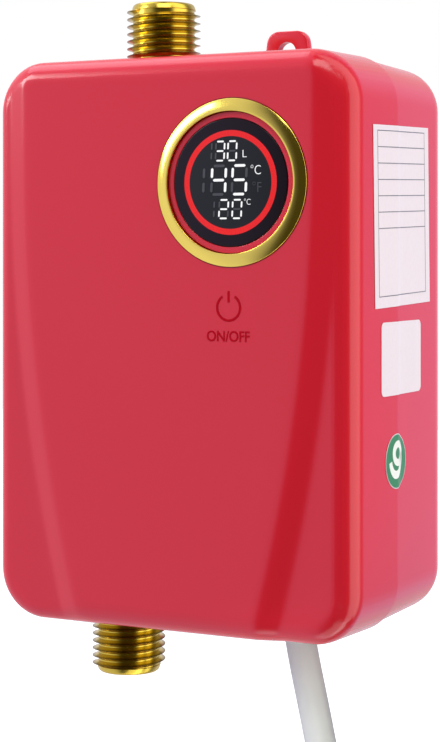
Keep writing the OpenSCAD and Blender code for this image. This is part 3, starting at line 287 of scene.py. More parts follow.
cord_curve = bpy.data.curves.new("mains_cord", "CURVE")
cord_curve.dimensions = "3D"
cord_curve.bevel_depth = cord_d / 2000
cord_curve.bevel_resolution = 6
cord_curve.use_fill_caps = True
cord_spline = cord_curve.splines.new("POLY")
cord_spline.points.add(len(cord_points) - 1)
for point, place in zip(cord_spline.points, cord_points):
    point.co = (*place, 1)
cord_spline.use_smooth = True
mains_cord = bpy.data.objects.new("mains_cord", cord_curve)
scene.collection.objects.link(mains_cord)
cord_finish = vinyl("cord_sheath", (0.40, 0.412, 0.388), (0.44, 0.452, 0.428))
cord_curve.materials.append(cord_finish)
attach(mains_cord, "case")
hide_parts("power_cord", "cord_coil")


# Plug: a moulded block with a ringed strain relief, two flat blades and a round earth pin.
# The block is rounded all over, and a flat rubber tie holds the coiled cord together.
def shift(mesh, by, verts=None):
    bmesh.ops.translate(mesh, vec=by, verts=verts or mesh.verts)


def resize(mesh, by):
    bmesh.ops.scale(mesh, vec=by, verts=mesh.verts)


def swing(mesh, angle, axis):
    bmesh.ops.rotate(mesh, cent=(0, 0, 0), matrix=Matrix.Rotation(angle, 3, axis), verts=mesh.verts)


def in_metres(mesh, name):
    """Mesh data in metres from a bmesh in millimetres."""
    resize(mesh, (0.001, 0.001, 0.001))
    return mesh_data(mesh, name)


def piece(mesh, name, material, nodes=(), sharp=32):
    """Makes a piece of the case from a bmesh in millimetres."""
    return fitted(in_metres(mesh, name), name, material, nodes, sharp)


def fitted(data, name, material, nodes=(), sharp=32):
    """Makes a piece of the case from mesh data in metres, shaded smooth up to a sharp angle."""
    data.polygons.foreach_set("use_smooth", [True] * len(data.polygons))
    data.set_sharp_from_angle(angle=math.radians(sharp))
    data.materials.clear()
    data.materials.append(material)
    made = bpy.data.objects.new(name, data)
    scene.collection.objects.link(made)
    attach(made, "case")
    if nodes:
        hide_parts(*nodes)
    return made


def spun(profile, axis, steps=96):
    """A closed profile, given as radius and height, turned round an axis through the origin."""
    mesh = bmesh.new()
    corners = [mesh.verts.new(Vector((radius, 0, 0)) + Vector(axis) * height) for radius, height in profile]
    edges = [mesh.edges.new(pair) for pair in zip(corners, corners[1:] + corners[:1])]
    bmesh.ops.spin(mesh, geom=corners + edges, cent=(0, 0, 0), axis=axis, angle=math.tau, steps=steps,
                   use_merge=True, use_duplicate=False)
    bmesh.ops.remove_doubles(mesh, verts=mesh.verts, dist=1e-4)
    bmesh.ops.recalc_face_normals(mesh, faces=mesh.faces)
    return mesh


def round_corners(mesh, corners, offset, segments):
    bmesh.ops.bevel(mesh, geom=corners, offset=offset, offset_type="OFFSET", segments=segments, profile=0.5,
                    affect="VERTICES", material=-1)


def card(width, height, corner=0, segments=1):
    """A flat rectangle round the origin, with rounded corners if asked for."""
    mesh = bmesh.new()
    bmesh.ops.create_grid(mesh, x_segments=1, y_segments=1, size=0.5)
    resize(mesh, (width, height, 1))
    if corner:
        round_corners(mesh, mesh.verts[:], corner, segments)
    return mesh


def thicken(mesh, by):
    """Draws flat faces out along a vector into a closed plate."""
    top = bmesh.ops.extrude_face_region(mesh, geom=mesh.faces[:])
    shift(mesh, by, [v for v in top["geom"] if isinstance(v, bmesh.types.BMVert)])
    bmesh.ops.recalc_face_normals(mesh, faces=mesh.faces)


def soften(mesh, offset, segments=2, angle=30):
    """Bevels every edge whose faces meet at more than an angle."""
    hard = [e for e in mesh.edges if len(e.link_faces) == 2 and e.calc_face_angle(0) > math.radians(angle)]
    bmesh.ops.bevel(mesh, geom=hard, offset=offset, offset_type="OFFSET", segments=segments, profile=0.5,
                    affect="EDGES", clamp_overlap=True, material=-1)


up = (0, 0, 1)
plug_w = 27
plug_t = 24
plug_len = 34
plug_corner = 5
relief_len = 22
plug_top = coil_z - coil_tail
plug_face = plug_top - relief_len - plug_len
plug_mesh = bmesh.new()
bmesh.ops.create_cube(plug_mesh, size=1)
resize(plug_mesh, (plug_w, plug_t, plug_len))
upright = [e for e in plug_mesh.edges if abs(e.verts[0].co.z - e.verts[1].co.z) > 1]
bmesh.ops.bevel(plug_mesh, geom=upright, offset=plug_corner, offset_type="OFFSET", segments=8, profile=0.5,
                affect="EDGES", material=-1)
soften(plug_mesh, 1.6, 4, 60)
shift(plug_mesh, (coil_start_x, coil_back_y, plug_face + plug_len / 2))
piece(plug_mesh, "plug_block", cord_finish, ("plug_body",), 50)

relief_rings = 4
relief_low_r = cord_d / 2 + 3
relief_top_r = cord_d / 2 + 1
relief_bore_r = cord_d / 2 + 0.1
relief_sink = 0.4
relief_profile = [(relief_bore_r, -relief_sink), (relief_low_r - 0.8, -relief_sink)]
for ring in range(relief_rings):
    rib_r = relief_low_r - (relief_low_r - relief_top_r) * (ring + 0.6) / relief_rings
    low = relief_len * (ring + 0.35) / relief_rings
    high = relief_len * (ring + 0.85) / relief_rings
    relief_profile += [(rib_r - 0.7, low - 0.3), (rib_r, low), (rib_r, high), (rib_r - 0.8, high + 0.3)]
relief_profile += [(relief_top_r - 0.4, relief_len), (relief_bore_r, relief_len)]
relief_mesh = spun(relief_profile, up, 64)
soften(relief_mesh, 0.2, 2)
shift(relief_mesh, (coil_start_x, coil_back_y, plug_top - relief_len))
strain_relief = piece(relief_mesh, "plug_strain_relief", cord_finish)

tie_w = 8
tie_t = 1.2
tie_room = 0.7
tie_corner = 3.6
tie_half_y = (turn_pitch + cord_d) / 2 + tie_room + tie_t
tie_low_z = inner_r - turn_pitch / 4 - cord_d / 2 - tie_room - tie_t
tie_high_z = coil_r - turn_pitch / 4 + cord_d / 2 + tie_room + tie_t
tie_mesh = card(tie_high_z - tie_low_z, 2 * tie_half_y, tie_corner, 8)
loop_face = tie_mesh.faces[:][0]
bmesh.ops.inset_individual(tie_mesh, faces=[loop_face], thickness=tie_t, depth=0, use_even_offset=True)
bmesh.ops.delete(tie_mesh, geom=[loop_face], context="FACES")
thicken(tie_mesh, (0, 0, tie_w))
soften(tie_mesh, 0.3, 3, 60)
shift(tie_mesh, (0, 0, -tie_w / 2))
swing(tie_mesh, math.pi / 2, "Y")
tie_z = coil_z + (tie_low_z + tie_high_z) / 2
shift(tie_mesh, (coil_start_x + coil_r, bush_mouth[1] + turn_pitch / 2, tie_z))
tie_finish = vinyl("tie_rubber", (0.016, 0.016, 0.017), (0.028, 0.028, 0.03))
coil_tie = piece(tie_mesh, "coil_tie", tie_finish, ("cord_tie",))


# Rear housing: the deeper half of the case, moulded in the same red plastic with round back edges.
# The wall lug and the half collars of the pipe ends are moulded on it, and four wells take the screws.
def housing_red(name):
    """Glossy moulded plastic: a faint drift in the pigment, a fine orange peel and a slight polish mottle."""
    material, shader, shade = finish(name, (0.6, 0.0124, 0.025), 0.2, specular_ior_level=0.45)
    drift = noise(shade, 9)
    feed(shade, shader["Base Color"], blend(shade, drift, (0.605, 0.0126, 0.0256), (0.592, 0.0120, 0.0245)))
    feed(shade, shader["Roughness"], noise(shade, 40) * 0.04 + 0.17)
    bump(shade, shader, noise(shade, 700, 2.0), 0.05, 0.0001)
    return material


def tray(width, height, corner_r, wall_step, depth, draft, fillet, turn):
    """A rounded plate drawn up into an open tray: drafted wall, quarter-round fillet and a flat face."""
    mesh = card(width, height, corner_r, 14)
    swing(mesh, turn, "X")
    face = mesh.faces[:][0]
    wall = depth - fillet
    for rise in (wall_step, wall - 2 * wall_step, wall_step):
        bmesh.ops.inset_individual(mesh, faces=[face], thickness=rise * math.tan(draft), depth=rise,
                                   use_even_offset=True)
    arcs = 10
    for arc in range(arcs):
        start = math.pi / 2 * arc / arcs
        end = math.pi / 2 * (arc + 1) / arcs
        bmesh.ops.inset_individual(mesh, faces=[face], thickness=fillet * (math.cos(start) - math.cos(end)),
                                   depth=fillet * (math.sin(end) - math.sin(start)), use_even_offset=True)
    bmesh.ops.inset_individual(mesh, faces=[face], thickness=wall_step, depth=0, use_even_offset=True)
    return mesh


def rod(radius, start, end, segments=64):
    """A plain round bar between two points, for drilling holes and raising collars."""
    mesh = bmesh.new()
    run = Vector(end) - Vector(start)
    bmesh.ops.create_cone(mesh, cap_ends=True, segments=segments, radius1=radius, radius2=radius,
                          depth=run.length)
    bmesh.ops.transform(mesh, matrix=run.to_track_quat("Z", "Y").to_matrix().to_4x4(), verts=mesh.verts)
    shift(mesh, (Vector(start) + Vector(end)) / 2)
    return mesh


def worked(mesh, thickness, steps):
    """A shell in metres: the sheet gets its wall inwards, then each tool is joined to it or cut from it."""
    blank = bpy.data.objects.new("blank", in_metres(mesh, "blank"))
    scene.collection.objects.link(blank)
    spare = [blank]
    skin = blank.modifiers.new("wall", "SOLIDIFY")
    skin.thickness = thickness / 1000
    skin.offset = -1
    skin.use_even_offset = True
    for operation, tool in steps:
        made = bpy.data.objects.new("tool", in_metres(tool, "tool"))
        scene.collection.objects.link(made)
        cut = blank.modifiers.new("tool", "BOOLEAN")
        cut.object = made
        cut.operation = operation
        cut.solver = "EXACT"
        spare.append(made)
    bpy.context.view_layer.update()
    result = bpy.data.meshes.new_from_object(blank.evaluated_get(bpy.context.evaluated_depsgraph_get()))
    for used in spare:
        used_data = used.data
        bpy.data.objects.remove(used)
        bpy.data.meshes.remove(used_data)
    return result


case_w = 110.7
case_h = 156
case_d = 69
case_wall = 2.5
corner_r = 14
joint_y = -39
joint_step = 0.5
rim_step = 0.4
rear_draft = math.radians(1.7)
back_fillet = 9
red_finish = housing_red("housing_red")
pipe_ends = {"outlet": (-16.95, 1), "inlet": (-28.55, -1)}
collar_r = 13
collar_rise = 0.6
spigot_hole_r = 7.2
bush_x = bush_mouth[0]
bush_hole_r = 6.85
collar_foot = 1.5
end_margin = 6


def end_rod(radius, x, start, end):
    """An upright bar on the joint, through the top or bottom wall."""
    return rod(radius, (x, joint_y, start), (x, joint_y, end))


def end_work(kept_side):
    """Half collars joined to the top and bottom walls, then the holes for the pipe ends and the cord bush."""
    steps = []
    end_z = case_h / 2
    for x, side in pipe_ends.values():
        collar = end_rod(collar_r, x, side * (end_z - collar_foot), side * (end_z + collar_rise))
        bmesh.ops.bisect_plane(collar, geom=collar.verts[:] + collar.edges[:] + collar.faces[:], dist=1e-5,
                               plane_co=(x, joint_y, 0), plane_no=(0, kept_side, 0), clear_inner=True)
        bmesh.ops.holes_fill(collar, edges=collar.edges, sides=0)
        bmesh.ops.recalc_face_normals(collar, faces=collar.faces)
        soften(collar, 0.25, 2, 60)
        steps.append(("UNION", collar))
    for x, side in pipe_ends.values():
        hole = end_rod(spigot_hole_r, x, side * (end_z - end_margin), side * (end_z + end_margin))
        steps.append(("DIFFERENCE", hole))
    steps.append(("DIFFERENCE", end_rod(bush_hole_r, bush_x, -end_z - end_margin, -end_z + end_margin)))
    return steps


lug_x = 4.2
lug_top_z = 90.05
lug_half_w = 6.25
lug_foot = 3
lug_round = 3.25
lug_t = 3
lug_hole_r = 3
lug_hole_z = 83.8
lug = bmesh.new()
lug_low_z = case_h / 2 - back_fillet
lug_foot_w = lug_half_w + lug_foot
lug_outline = [
    (-lug_foot_w, lug_low_z), (lug_foot_w, lug_low_z), (lug_half_w, lug_top_z), (-lug_half_w, lug_top_z),
]
lug_corners = [lug.verts.new((lug_x + x, 0, z)) for x, z in lug_outline]
lug.faces.new(lug_corners)
round_corners(lug, lug_corners[2:], lug_round, 10)
thicken(lug, (0, -lug_t, 0))
soften(lug, 0.5, 3, 50)

rear_w = case_w - 2 * joint_step
rear_h = case_h - 2 * joint_step
rear_corner_r = corner_r - joint_step
rear_sheet = tray(rear_w, rear_h, rear_corner_r, rim_step, -joint_y, rear_draft, back_fillet, -math.pi / 2)
shift(rear_sheet, (0, joint_y, 0))
screw_x = 46.35
screw_z = 67
well_r = 3.25
well_floor_y = -33
post_r = 4.45
post_front_y = joint_y + 0.5
post_back_y = -1.2
lug_hole = rod(lug_hole_r, (lug_x, -lug_t - 2, lug_hole_z), (lug_x, 2, lug_hole_z))
rear_steps = [("UNION", lug), ("DIFFERENCE", lug_hole)]
for x in (-screw_x, screw_x):
    for z in (-screw_z, screw_z):
        rear_steps.append(("UNION", rod(post_r, (x, post_front_y, z), (x, post_back_y, z), 40)))
        rear_steps.append(("DIFFERENCE", rod(well_r, (x, well_floor_y, z), (x, 1, z), 40)))
rear_steps += end_work(1)
rear_half = worked(rear_sheet, case_wall, rear_steps)
fitted(rear_half, "rear_housing", red_finish, ("rear_shell",), 40)


# Front housing: the shallow half, with a raised panel whose two long creases run straight at the top and
# then bow inwards. It is drafted off the joint and has a round hole for the display. Beside the right
# crease the rounded edge is lowered whole, and beside the left one its round gets smaller.
front_draft = math.radians(0.6)
front_depth = case_d + joint_y
front_fillet = 6.2
panel_rise = 2.1
crease_w = 6
crease_side = 4.7
crease_r = 480
crease_start = 53
crease_round = 0.3
dial_x = 20.75
dial_z = 43
dial_hole_r = 19.9
dial_steps = 144
back = (0, 1, 0)
crease_axis_x = case_w / 2 - crease_side - crease_r
front_sheet = tray(case_w, case_h, corner_r, rim_step, front_depth, front_draft, front_fillet, math.pi / 2)
shift(front_sheet, (0, joint_y, 0))
first_cut_x = 20
cut_step = 0.5
side_cuts = 68
level_step = 2.6
levels = 29


def score(mesh, at, across):
    """Cuts a mesh into narrower faces along a plane, so that it can bend there."""
    everything = mesh.verts[:] + mesh.edges[:] + mesh.faces[:]
    bmesh.ops.bisect_plane(mesh, geom=everything, dist=1e-4, plane_co=at, plane_no=across)


for side in (-1, 1):
    for cut in range(side_cuts):
        score(front_sheet, (side * (first_cut_x + cut_step * cut), 0, 0), (1, 0, 0))
for level in range(-levels, levels + 1):
    score(front_sheet, (0, 0, level_step * level), up)


def at_least(value, low):
    """The larger of two heights, with a small round where they meet."""
    gap = value - low
    return low + (gap + math.sqrt(gap * gap + crease_round * crease_round)) / 2


for vert in front_sheet.verts:
    sunk = max(vert.co.y + case_d, 0)
    if sunk < front_depth / 2:
        below = min(vert.co.z - crease_start, 0)
        reach = math.hypot(abs(vert.co.x) - crease_axis_x, below)
        slope = (reach - crease_r + crease_w) / crease_w * panel_rise
        lowered = panel_rise - at_least(panel_rise - at_least(slope, 0), 0)
        if vert.co.x > 0:
            vert.co.y += lowered
        elif sunk <= front_fillet:
            outward = math.sqrt(sunk * (2 * front_fillet - sunk))
            round_r = front_fillet - lowered
            past = min(max(outward - lowered, 0), round_r)
            vert.co.y = lowered + round_r - math.sqrt(round_r * round_r - past * past) - case_d

dial_hole = rod(dial_hole_r, (dial_x, -case_d - 5, dial_z), (dial_x, -case_d + 8, dial_z), 96)
seat_in_r = 21
seat_out_r = 22.5
seat_floor_r = 22.4
seat_top_y = -case_d - 1
seat_floor_y = -case_d + 0.5
seat_profile = [
    (seat_in_r, seat_top_y), (seat_out_r, seat_top_y),
    (seat_floor_r, seat_floor_y), (seat_in_r, seat_floor_y),
]
bezel_seat = spun(seat_profile, back, dial_steps)
shift(bezel_seat, (dial_x, 0, dial_z))
front_steps = end_work(-1) + [("DIFFERENCE", dial_hole), ("DIFFERENCE", bezel_seat)]
front_half = worked(front_sheet, case_wall, front_steps)
fitted(front_half, "front_housing", red_finish, ("front_shell",), 40)


# Cord bush: a grey rubber bush trapped in the joint, which grips the cord. A flange lies against each
# side of the wall, and its tapered inner end is grooved so that it bends.
bush_bore_r = cord_d / 2 + 0.1
bush_neck_r = 6.75
bush_flange_r = 8.5
bush_gap = 0.1
wall_low_z = -case_h / 2
wall_high_z = wall_low_z + case_wall
bush_top_z = wall_high_z + 14
bush_low_z = bush_mouth[2]
inner_flange_t = 3
bush_profile = [
    (bush_bore_r, bush_low_z), (bush_neck_r - 1.3, bush_low_z), (bush_neck_r - 0.95, bush_low_z + 0.25),
    (bush_flange_r - 0.45, wall_low_z - 0.75), (bush_flange_r, wall_low_z - 0.35),
    (bush_flange_r, wall_low_z - bush_gap), (bush_neck_r, wall_low_z - bush_gap),
    (bush_neck_r, wall_high_z + bush_gap), (bush_flange_r, wall_high_z + bush_gap),
    (bush_flange_r, wall_high_z + inner_flange_t),
]
grooves = 4
groove_pitch = 2.7
groove_depth = 0.9
groove_taper = 0.32
for groove in range(grooves):
    low = wall_high_z + 3.4 + groove * groove_pitch
    outer_r = bush_flange_r - 0.3 - groove_taper * groove
    floor_r = outer_r - groove_depth
    bush_profile += [(floor_r, low), (floor_r, low + 0.9), (outer_r, low + 1.2), (outer_r - 0.1, low + 2.3)]
bush_profile += [(bush_neck_r, bush_top_z), (bush_bore_r, bush_top_z)]
bush_mesh = spun(bush_profile, up)
shift(bush_mesh, (bush_x, joint_y, 0))
piece(bush_mesh, "cord_bush", cord_finish, ("cord_gland",), 40)


# Pipe ends: two turned brass nipples with a male half-inch pipe thread cut right up to the collar.
# Each has a plain chamfered lip, an open bore and a spigot that pushes into the water column inside.
def from_axis(shade, x, y, z, across):
    """Distance in millimetres from an axis through a point, counted along the directions given."""
    at = shade.node("TexCoord", (), (), 3)
    at = shade.node("Mapping", (), {"Vector": at, "Location": (-x / 1000, -y / 1000, -z / 1000)})
    at = shade.node("VectorMath", {"operation": "MULTIPLY"}, {0: at, 1: across})
    return shade.node("VectorMath", {"operation": "LENGTH"}, {0: at}, 1)


def turned_brass(name, axis_x):
    """Bright turned brass: slight tarnish, a soft polish, and painted shade that darkens the thread crests.
    """
    material, shader, shade = finish(name, (0.5, 0.34, 0.032), 0.2, metallic=1.0)
    radius = from_axis(shade, axis_x, joint_y, 0, (1000, 1000, 0))
    crest_range = {"Value": radius, "From Min": thread_r - 1.1, "From Max": thread_r - 0.1}
    # Painted shade: the base colour grows darker towards the tips of the thread crests.
    crest = shade.node("MapRange", (), crest_range) * 0.85
    bright = blend(shade, noise(shade, 150), (0.53, 0.38, 0.046), (0.61, 0.44, 0.06))
    crest_shade_colour = (0.1, 0.075, 0.025, 1)
    crest_shaded = shade.node("Mix", {"data_type": "RGBA"}, {0: crest, 6: bright, 7: crest_shade_colour}, 2)
    feed(shade, shader["Base Color"], crest_shaded)
    feed(shade, shader["Roughness"], noise(shade, 500) * 0.08 + 0.2)
    bump(shade, shader, noise(shade, 900, 2.0, (1, 1, 6)), 0.04, 0.0001)
    return material


thread_r = 10.4775
thread_depth = 1.75
thread_pitch = 2.1
thread_steps = 96
thread_start_z = 0.6
thread_clear = 0.15
thread_foot = 0.25
flank = [(-thread_foot, 0.47), (0.02, 0.42), (0.28, 0.27), (0.85, 0.13), (thread_depth, 0.015)]
run_out = 0.07
least_rise = 0.02
pipe_steps = 112
lip_len = 1.9
lip_r = 9.15
mouth_r = 6.5
mouth_floor = 1.5
spigot_r = 7
spigot_bore_r = 5
spigot_len = 14
collar_z = case_h / 2 + collar_rise


def join(mesh, other):
    """Adds another bmesh's shape to a bmesh."""
    carried = mesh_data(other, "carried")
    mesh.from_mesh(carried)
    bpy.data.meshes.remove(carried)


def pipe_end(name, node, x, side, length):
    """A turned body, and its thread as one ridge screwed round it, which runs out at both ends."""
    root_r = thread_r - thread_depth
    thread_end_z = length - lip_len
    mesh = spun([
        (spigot_r, 0), (root_r, 0), (root_r, thread_end_z), (lip_r, thread_end_z + 0.1),
        (lip_r - 0.3, length - 0.8), (lip_r - 0.55, length - 0.35), (lip_r - 0.9, length - 0.08),
        (lip_r - 1.2, length), (mouth_r + 0.7, length), (mouth_r, length - 0.5), (mouth_r, mouth_floor),
        (spigot_bore_r, mouth_floor), (spigot_bore_r, -spigot_len), (spigot_r, -spigot_len),
    ], up, pipe_steps)
    foot_r = root_r - thread_foot
    section = flank + [(rise, -across) for rise, across in reversed(flank)]
    turns = (thread_end_z - thread_clear - thread_start_z) / thread_pitch
    end_bearing = math.radians(225 + 30 * side)
    ridge = bmesh.new()
    corners = [ridge.verts.new((root_r + rise, 0, across * thread_pitch)) for rise, across in section]
    edges = [ridge.edges.new(pair) for pair in zip(corners, corners[1:] + corners[:1])]
    steps = round(turns * thread_steps)
    bmesh.ops.spin(ridge, geom=corners + edges, cent=(0, 0, 0), axis=up, angle=math.tau * turns,
                   steps=steps, dvec=(0, 0, thread_pitch * turns / steps), use_duplicate=False)
    bmesh.ops.edgeloop_fill(ridge, edges=[e for e in ridge.edges if e.is_boundary])
    bmesh.ops.recalc_face_normals(ridge, faces=ridge.faces)
    for vert in ridge.verts:
        part_turn = math.atan2(vert.co.y, vert.co.x) / math.tau
        turn = part_turn + round(vert.co.z / thread_pitch - part_turn)
        fade = min(1, max(0, turn / run_out), max(0, (turns - turn) / run_out))
        radius = math.hypot(vert.co.x, vert.co.y)
        shrunk = (foot_r + (radius - foot_r) * max(fade, least_rise)) / radius
        vert.co.x *= shrunk
        vert.co.y *= shrunk
    swing(ridge, end_bearing - math.tau * turns, "Z")
    shift(ridge, (0, 0, thread_start_z))
    join(mesh, ridge)
    if side < 0:
        swing(mesh, math.pi, "X")
    shift(mesh, (x, joint_y, side * collar_z))
    piece(mesh, name, turned_brass(name + "_brass", x), (node,), 60)


pipe_end("outlet_pipe_end", "outlet_nipple", *pipe_ends["outlet"], 16.55)
pipe_end("inlet_pipe_end", "inlet_nipple", *pipe_ends["inlet"], 16.9)


# Display bezel: a moulded ring plated in bright gold, sloping away from the lens, clipped into the
# front housing round the display.
def plated_gold(name):
    """Mirror-bright gold plate over moulded plastic, with the faint ripple and haze of the moulding below."""
    material, shader, shade = finish(name, (0.82, 0.62, 0.1), 0.12, metallic=1.0)
    haze = noise(shade, 90)
    feed(shade, shader["Base Color"], blend(shade, haze, (0.84, 0.64, 0.11), (0.79, 0.59, 0.095)))
    feed(shade, shader["Roughness"], haze * 0.08 + 0.09)
    bump(shade, shader, noise(shade, 160, 1.0), 0.04, 0.0002)
    return material


def dial_ring(profile, name, material, nodes, edge):
    """A ring spun round the display's axis; its profile is given as radius and depth."""
    mesh = spun(profile, back, dial_steps)
    soften(mesh, edge, 3, 20)
    shift(mesh, (dial_x, 0, dial_z))
    return piece(mesh, name, material, nodes, 50)


bezel_r = 22.2
bezel_hole_r = 18.8
bezel_top_y = -70.2
bezel_edge_y = -69.25
bezel_low_y = -case_d - 0.02
sleeve_r = dial_hole_r - 0.2
sleeve_end_y = -case_d + 1.5
bezel_profile = [
    (bezel_hole_r, sleeve_end_y), (bezel_hole_r, bezel_top_y), (bezel_hole_r + 0.6, bezel_top_y),
    (bezel_r, bezel_edge_y), (bezel_r, bezel_low_y), (sleeve_r, bezel_low_y), (sleeve_r, sleeve_end_y),
]
gold_finish = plated_gold("plated_gold")
dial_ring(bezel_profile, "gold_bezel", gold_finish, ("bezel_ring",), 0.12)


# Display: a red trim ring holds a round smoked lens. A light ring behind the lens glows red, and
# three rows of white segment digits show through its dark window.
def smoked_lens(name):
    """Gloss black lens: a grey window in the middle, the lit ring round it, and a black border."""
    material, shader, shade = finish(name, (0.004, 0.003, 0.004), 0.1, emission_strength=1.0,
                                     specular_ior_level=0.15)
    radius = from_axis(shade, dial_x, 0, dial_z, (1000, 0, 1000))
    window = radius < window_r
    lit = (radius < light_r) * (1 - window)
    grain = noise(shade, 3000, 1.0)
    feed(shade, shader["Base Color"], blend(shade, window, (0.010, 0.005, 0.008), (0.016, 0.017, 0.018)))
    glow = blend(shade, grain, (0.82, 0.020, 0.020), (0.74, 0.014, 0.016))
    off = shade.node("Mix", {"data_type": "RGBA"}, {0: lit, 6: (0, 0, 0, 1), 7: glow}, 2)
    feed(shade, shader["Emission Color"], off)
    feed(shade, shader["Roughness"], noise(shade, 120) * 0.06 + 0.08)
    return material


def glowing(name, colour):
    """An even glow with the faint grain of the diffuser, for lit parts; on the unlit segments the faint glow
    is painted light, standing in for room light on them.
    """
    material, shader, shade = finish(name, (0.02, 0.02, 0.02), 0.3, emission_strength=1.0)
    low = tuple(channel * 0.9 for channel in colour)
    feed(shade, shader["Emission Color"], blend(shade, noise(shade, 2500, 1.0), low, colour))
    return material


window_r = 12.2
light_r = 13.75
lens_r = 16.9
lens_y = -69.4
trim_r = 18.65
trim_y = lens_y + 0.15
trim_in_r = lens_r + 0.1
trim_back_y = -67.2
trim_profile = [(trim_in_r, trim_y), (trim_r, trim_y), (trim_r, trim_back_y), (trim_in_r, trim_back_y)]
dial_ring(trim_profile, "red_trim", red_finish, ("display_trim",), 0.15)
lens_back_y = lens_y + 2
lens_mesh = spun([(0, lens_y), (lens_r, lens_y), (lens_r, lens_back_y), (0, lens_back_y)], back, dial_steps)
soften(lens_mesh, 0.25, 3, 60)
shift(lens_mesh, (dial_x, 0, dial_z))
piece(lens_mesh, "display_window", smoked_lens("smoked_lens"), ("display_lens",), 40)

segment_places = {
    "a": (0, 1, 0), "b": (1, 0.5, 1), "c": (1, -0.5, 1), "d": (0, -1, 0),
    "e": (-1, -0.5, 1), "f": (-1, 0.5, 1), "g": (0, 0, 0),
}
numeral_bars = {"0": "abcdef", "2": "abged", "3": "abgcd", "4": "fgbc", "5": "afgcd"}
print_y = lens_y - 0.03
print_t = 0.05
lean = 0.05
bar_point = 0.42
bar_gap = 2.1


def bar(mesh, x, z, length, thick, upright, mid_x, mid_z):
    """One pointed display bar, leaning with its numeral."""
    made = card(length, thick, thick * bar_point)
    swing(made, math.pi / 2 * upright, "Z")
    swing(made, math.pi / 2, "X")
    for vert in made.verts:
        vert.co.x += x + lean * (vert.co.z + z)
    shift(made, (mid_x, print_y, mid_z + z))
    join(mesh, made)


def numeral(mesh, shown, mid_x, mid_z, width, height, thick):
    """Adds the named bars of one numeral, placed round its middle."""
    for name in shown:
        across, rise, upright = segment_places[name]
        length = (height / 2 if upright else width) - thick * bar_gap
        x = across * (width - thick) / 2
        bar(mesh, x, rise * (height - thick) / 2, length, thick, upright, mid_x, mid_z)


def lettering(words, box, y, name, weight=0):
    """Words as flat faces on the front, fitted to a box of left, right, low and high edges."""
    curve = bpy.data.curves.new(name, "FONT")
    curve.body = words
    curve.offset = weight
    holder = bpy.data.objects.new(name, curve)
    scene.collection.objects.link(holder)
    bpy.context.view_layer.update()
    flat = bpy.data.meshes.new_from_object(holder.evaluated_get(bpy.context.evaluated_depsgraph_get()))
    bpy.data.objects.remove(holder)
    bpy.data.curves.remove(curve)
    mesh = bmesh.new()
    mesh.from_mesh(flat)
    bpy.data.meshes.remove(flat)
    left, right, low, high = box
    xs = [v.co.x for v in mesh.verts]
    ys = [v.co.y for v in mesh.verts]
    shift(mesh, (-min(xs), -min(ys), 0))
    fit = ((right - left) / (max(xs) - min(xs)), (high - low) / (max(ys) - min(ys)), 1)
    resize(mesh, fit)
    swing(mesh, math.pi / 2, "X")
    shift(mesh, (left, y, low))
    return mesh


rows = [
    ("30", (-2.95, 0.65), 8.3, 3.0, 5.5, 0.46),
    ("45", (-3.4, 2.75), 0.65, 4.8, 8.2, 0.7),
    ("20", (-1.9, 2.05), -7.0, 3.1, 5.3, 0.46),
]
fine_weight = -0.012
one_spacing = 1.02
one_width = 0.9
lit_print = bmesh.new()
dim_print = bmesh.new()
for digits, places, mid_z, width, height, thick in rows:
    for digit, mid_x in zip(digits, places):
        shown = numeral_bars[digit]
        numeral(lit_print, shown, mid_x, mid_z, width, height, thick)
        unlit = [name for name in segment_places if name not in shown]
        numeral(dim_print, unlit, mid_x, mid_z, width, height, thick)
    unlit_one = places[0] - (places[1] - places[0]) * one_spacing
    numeral(dim_print, "bc", unlit_one, mid_z, width * one_width, height, thick)
join(lit_print, lettering("L", (3.75, 4.95, 6.55, 8.45), print_y, "litres", fine_weight))
join(lit_print, lettering("°C", (6.15, 9.1, 2.0, 4.5), print_y, "degrees_set", fine_weight))
join(lit_print, lettering("°C", (4.2, 6.1, -5.9, -4.3), print_y, "degrees_in", fine_weight))
join(dim_print, lettering("°F", (6.7, 9.3, -2.6, 0.1), print_y, "degrees_other", fine_weight))
for flat in (lit_print, dim_print):
    thicken(flat, (0, -print_t, 0))
    shift(flat, (dial_x, 0, dial_z))
piece(lit_print, "lit_numerals", glowing("lit_white", (1.0, 1.0, 1.0)))
# The unlit bars and the °F glow faintly: painted light in place of room light on the diffuser behind the
# lens.
piece(dim_print, "unlit_numerals", glowing("unlit_painted_glow", (0.026, 0.027, 0.029)))


# Touch key: the power sign and its ON and OFF words, sunk into the front; a thin matt dark red film over them
# carries painted shade for the sunk lines.
# A finger on it is sensed by an electrode behind the wall, so nothing moves.
def sunk_line_shade(name):
    """Matt dark red: painted shade for the floor of shallow moulded lines."""
    material, shader, shade = finish(name, (0.42, 0.002, 0.01), 0.6, specular_ior_level=0.03)
    pigment = blend(shade, noise(shade, 400), (0.40, 0.0018, 0.009), (0.44, 0.0024, 0.011))
    feed(shade, shader["Base Color"], pigment)
    bump(shade, shader, noise(shade, 3000, 2.0), 0.1, 0.0001)
    return material


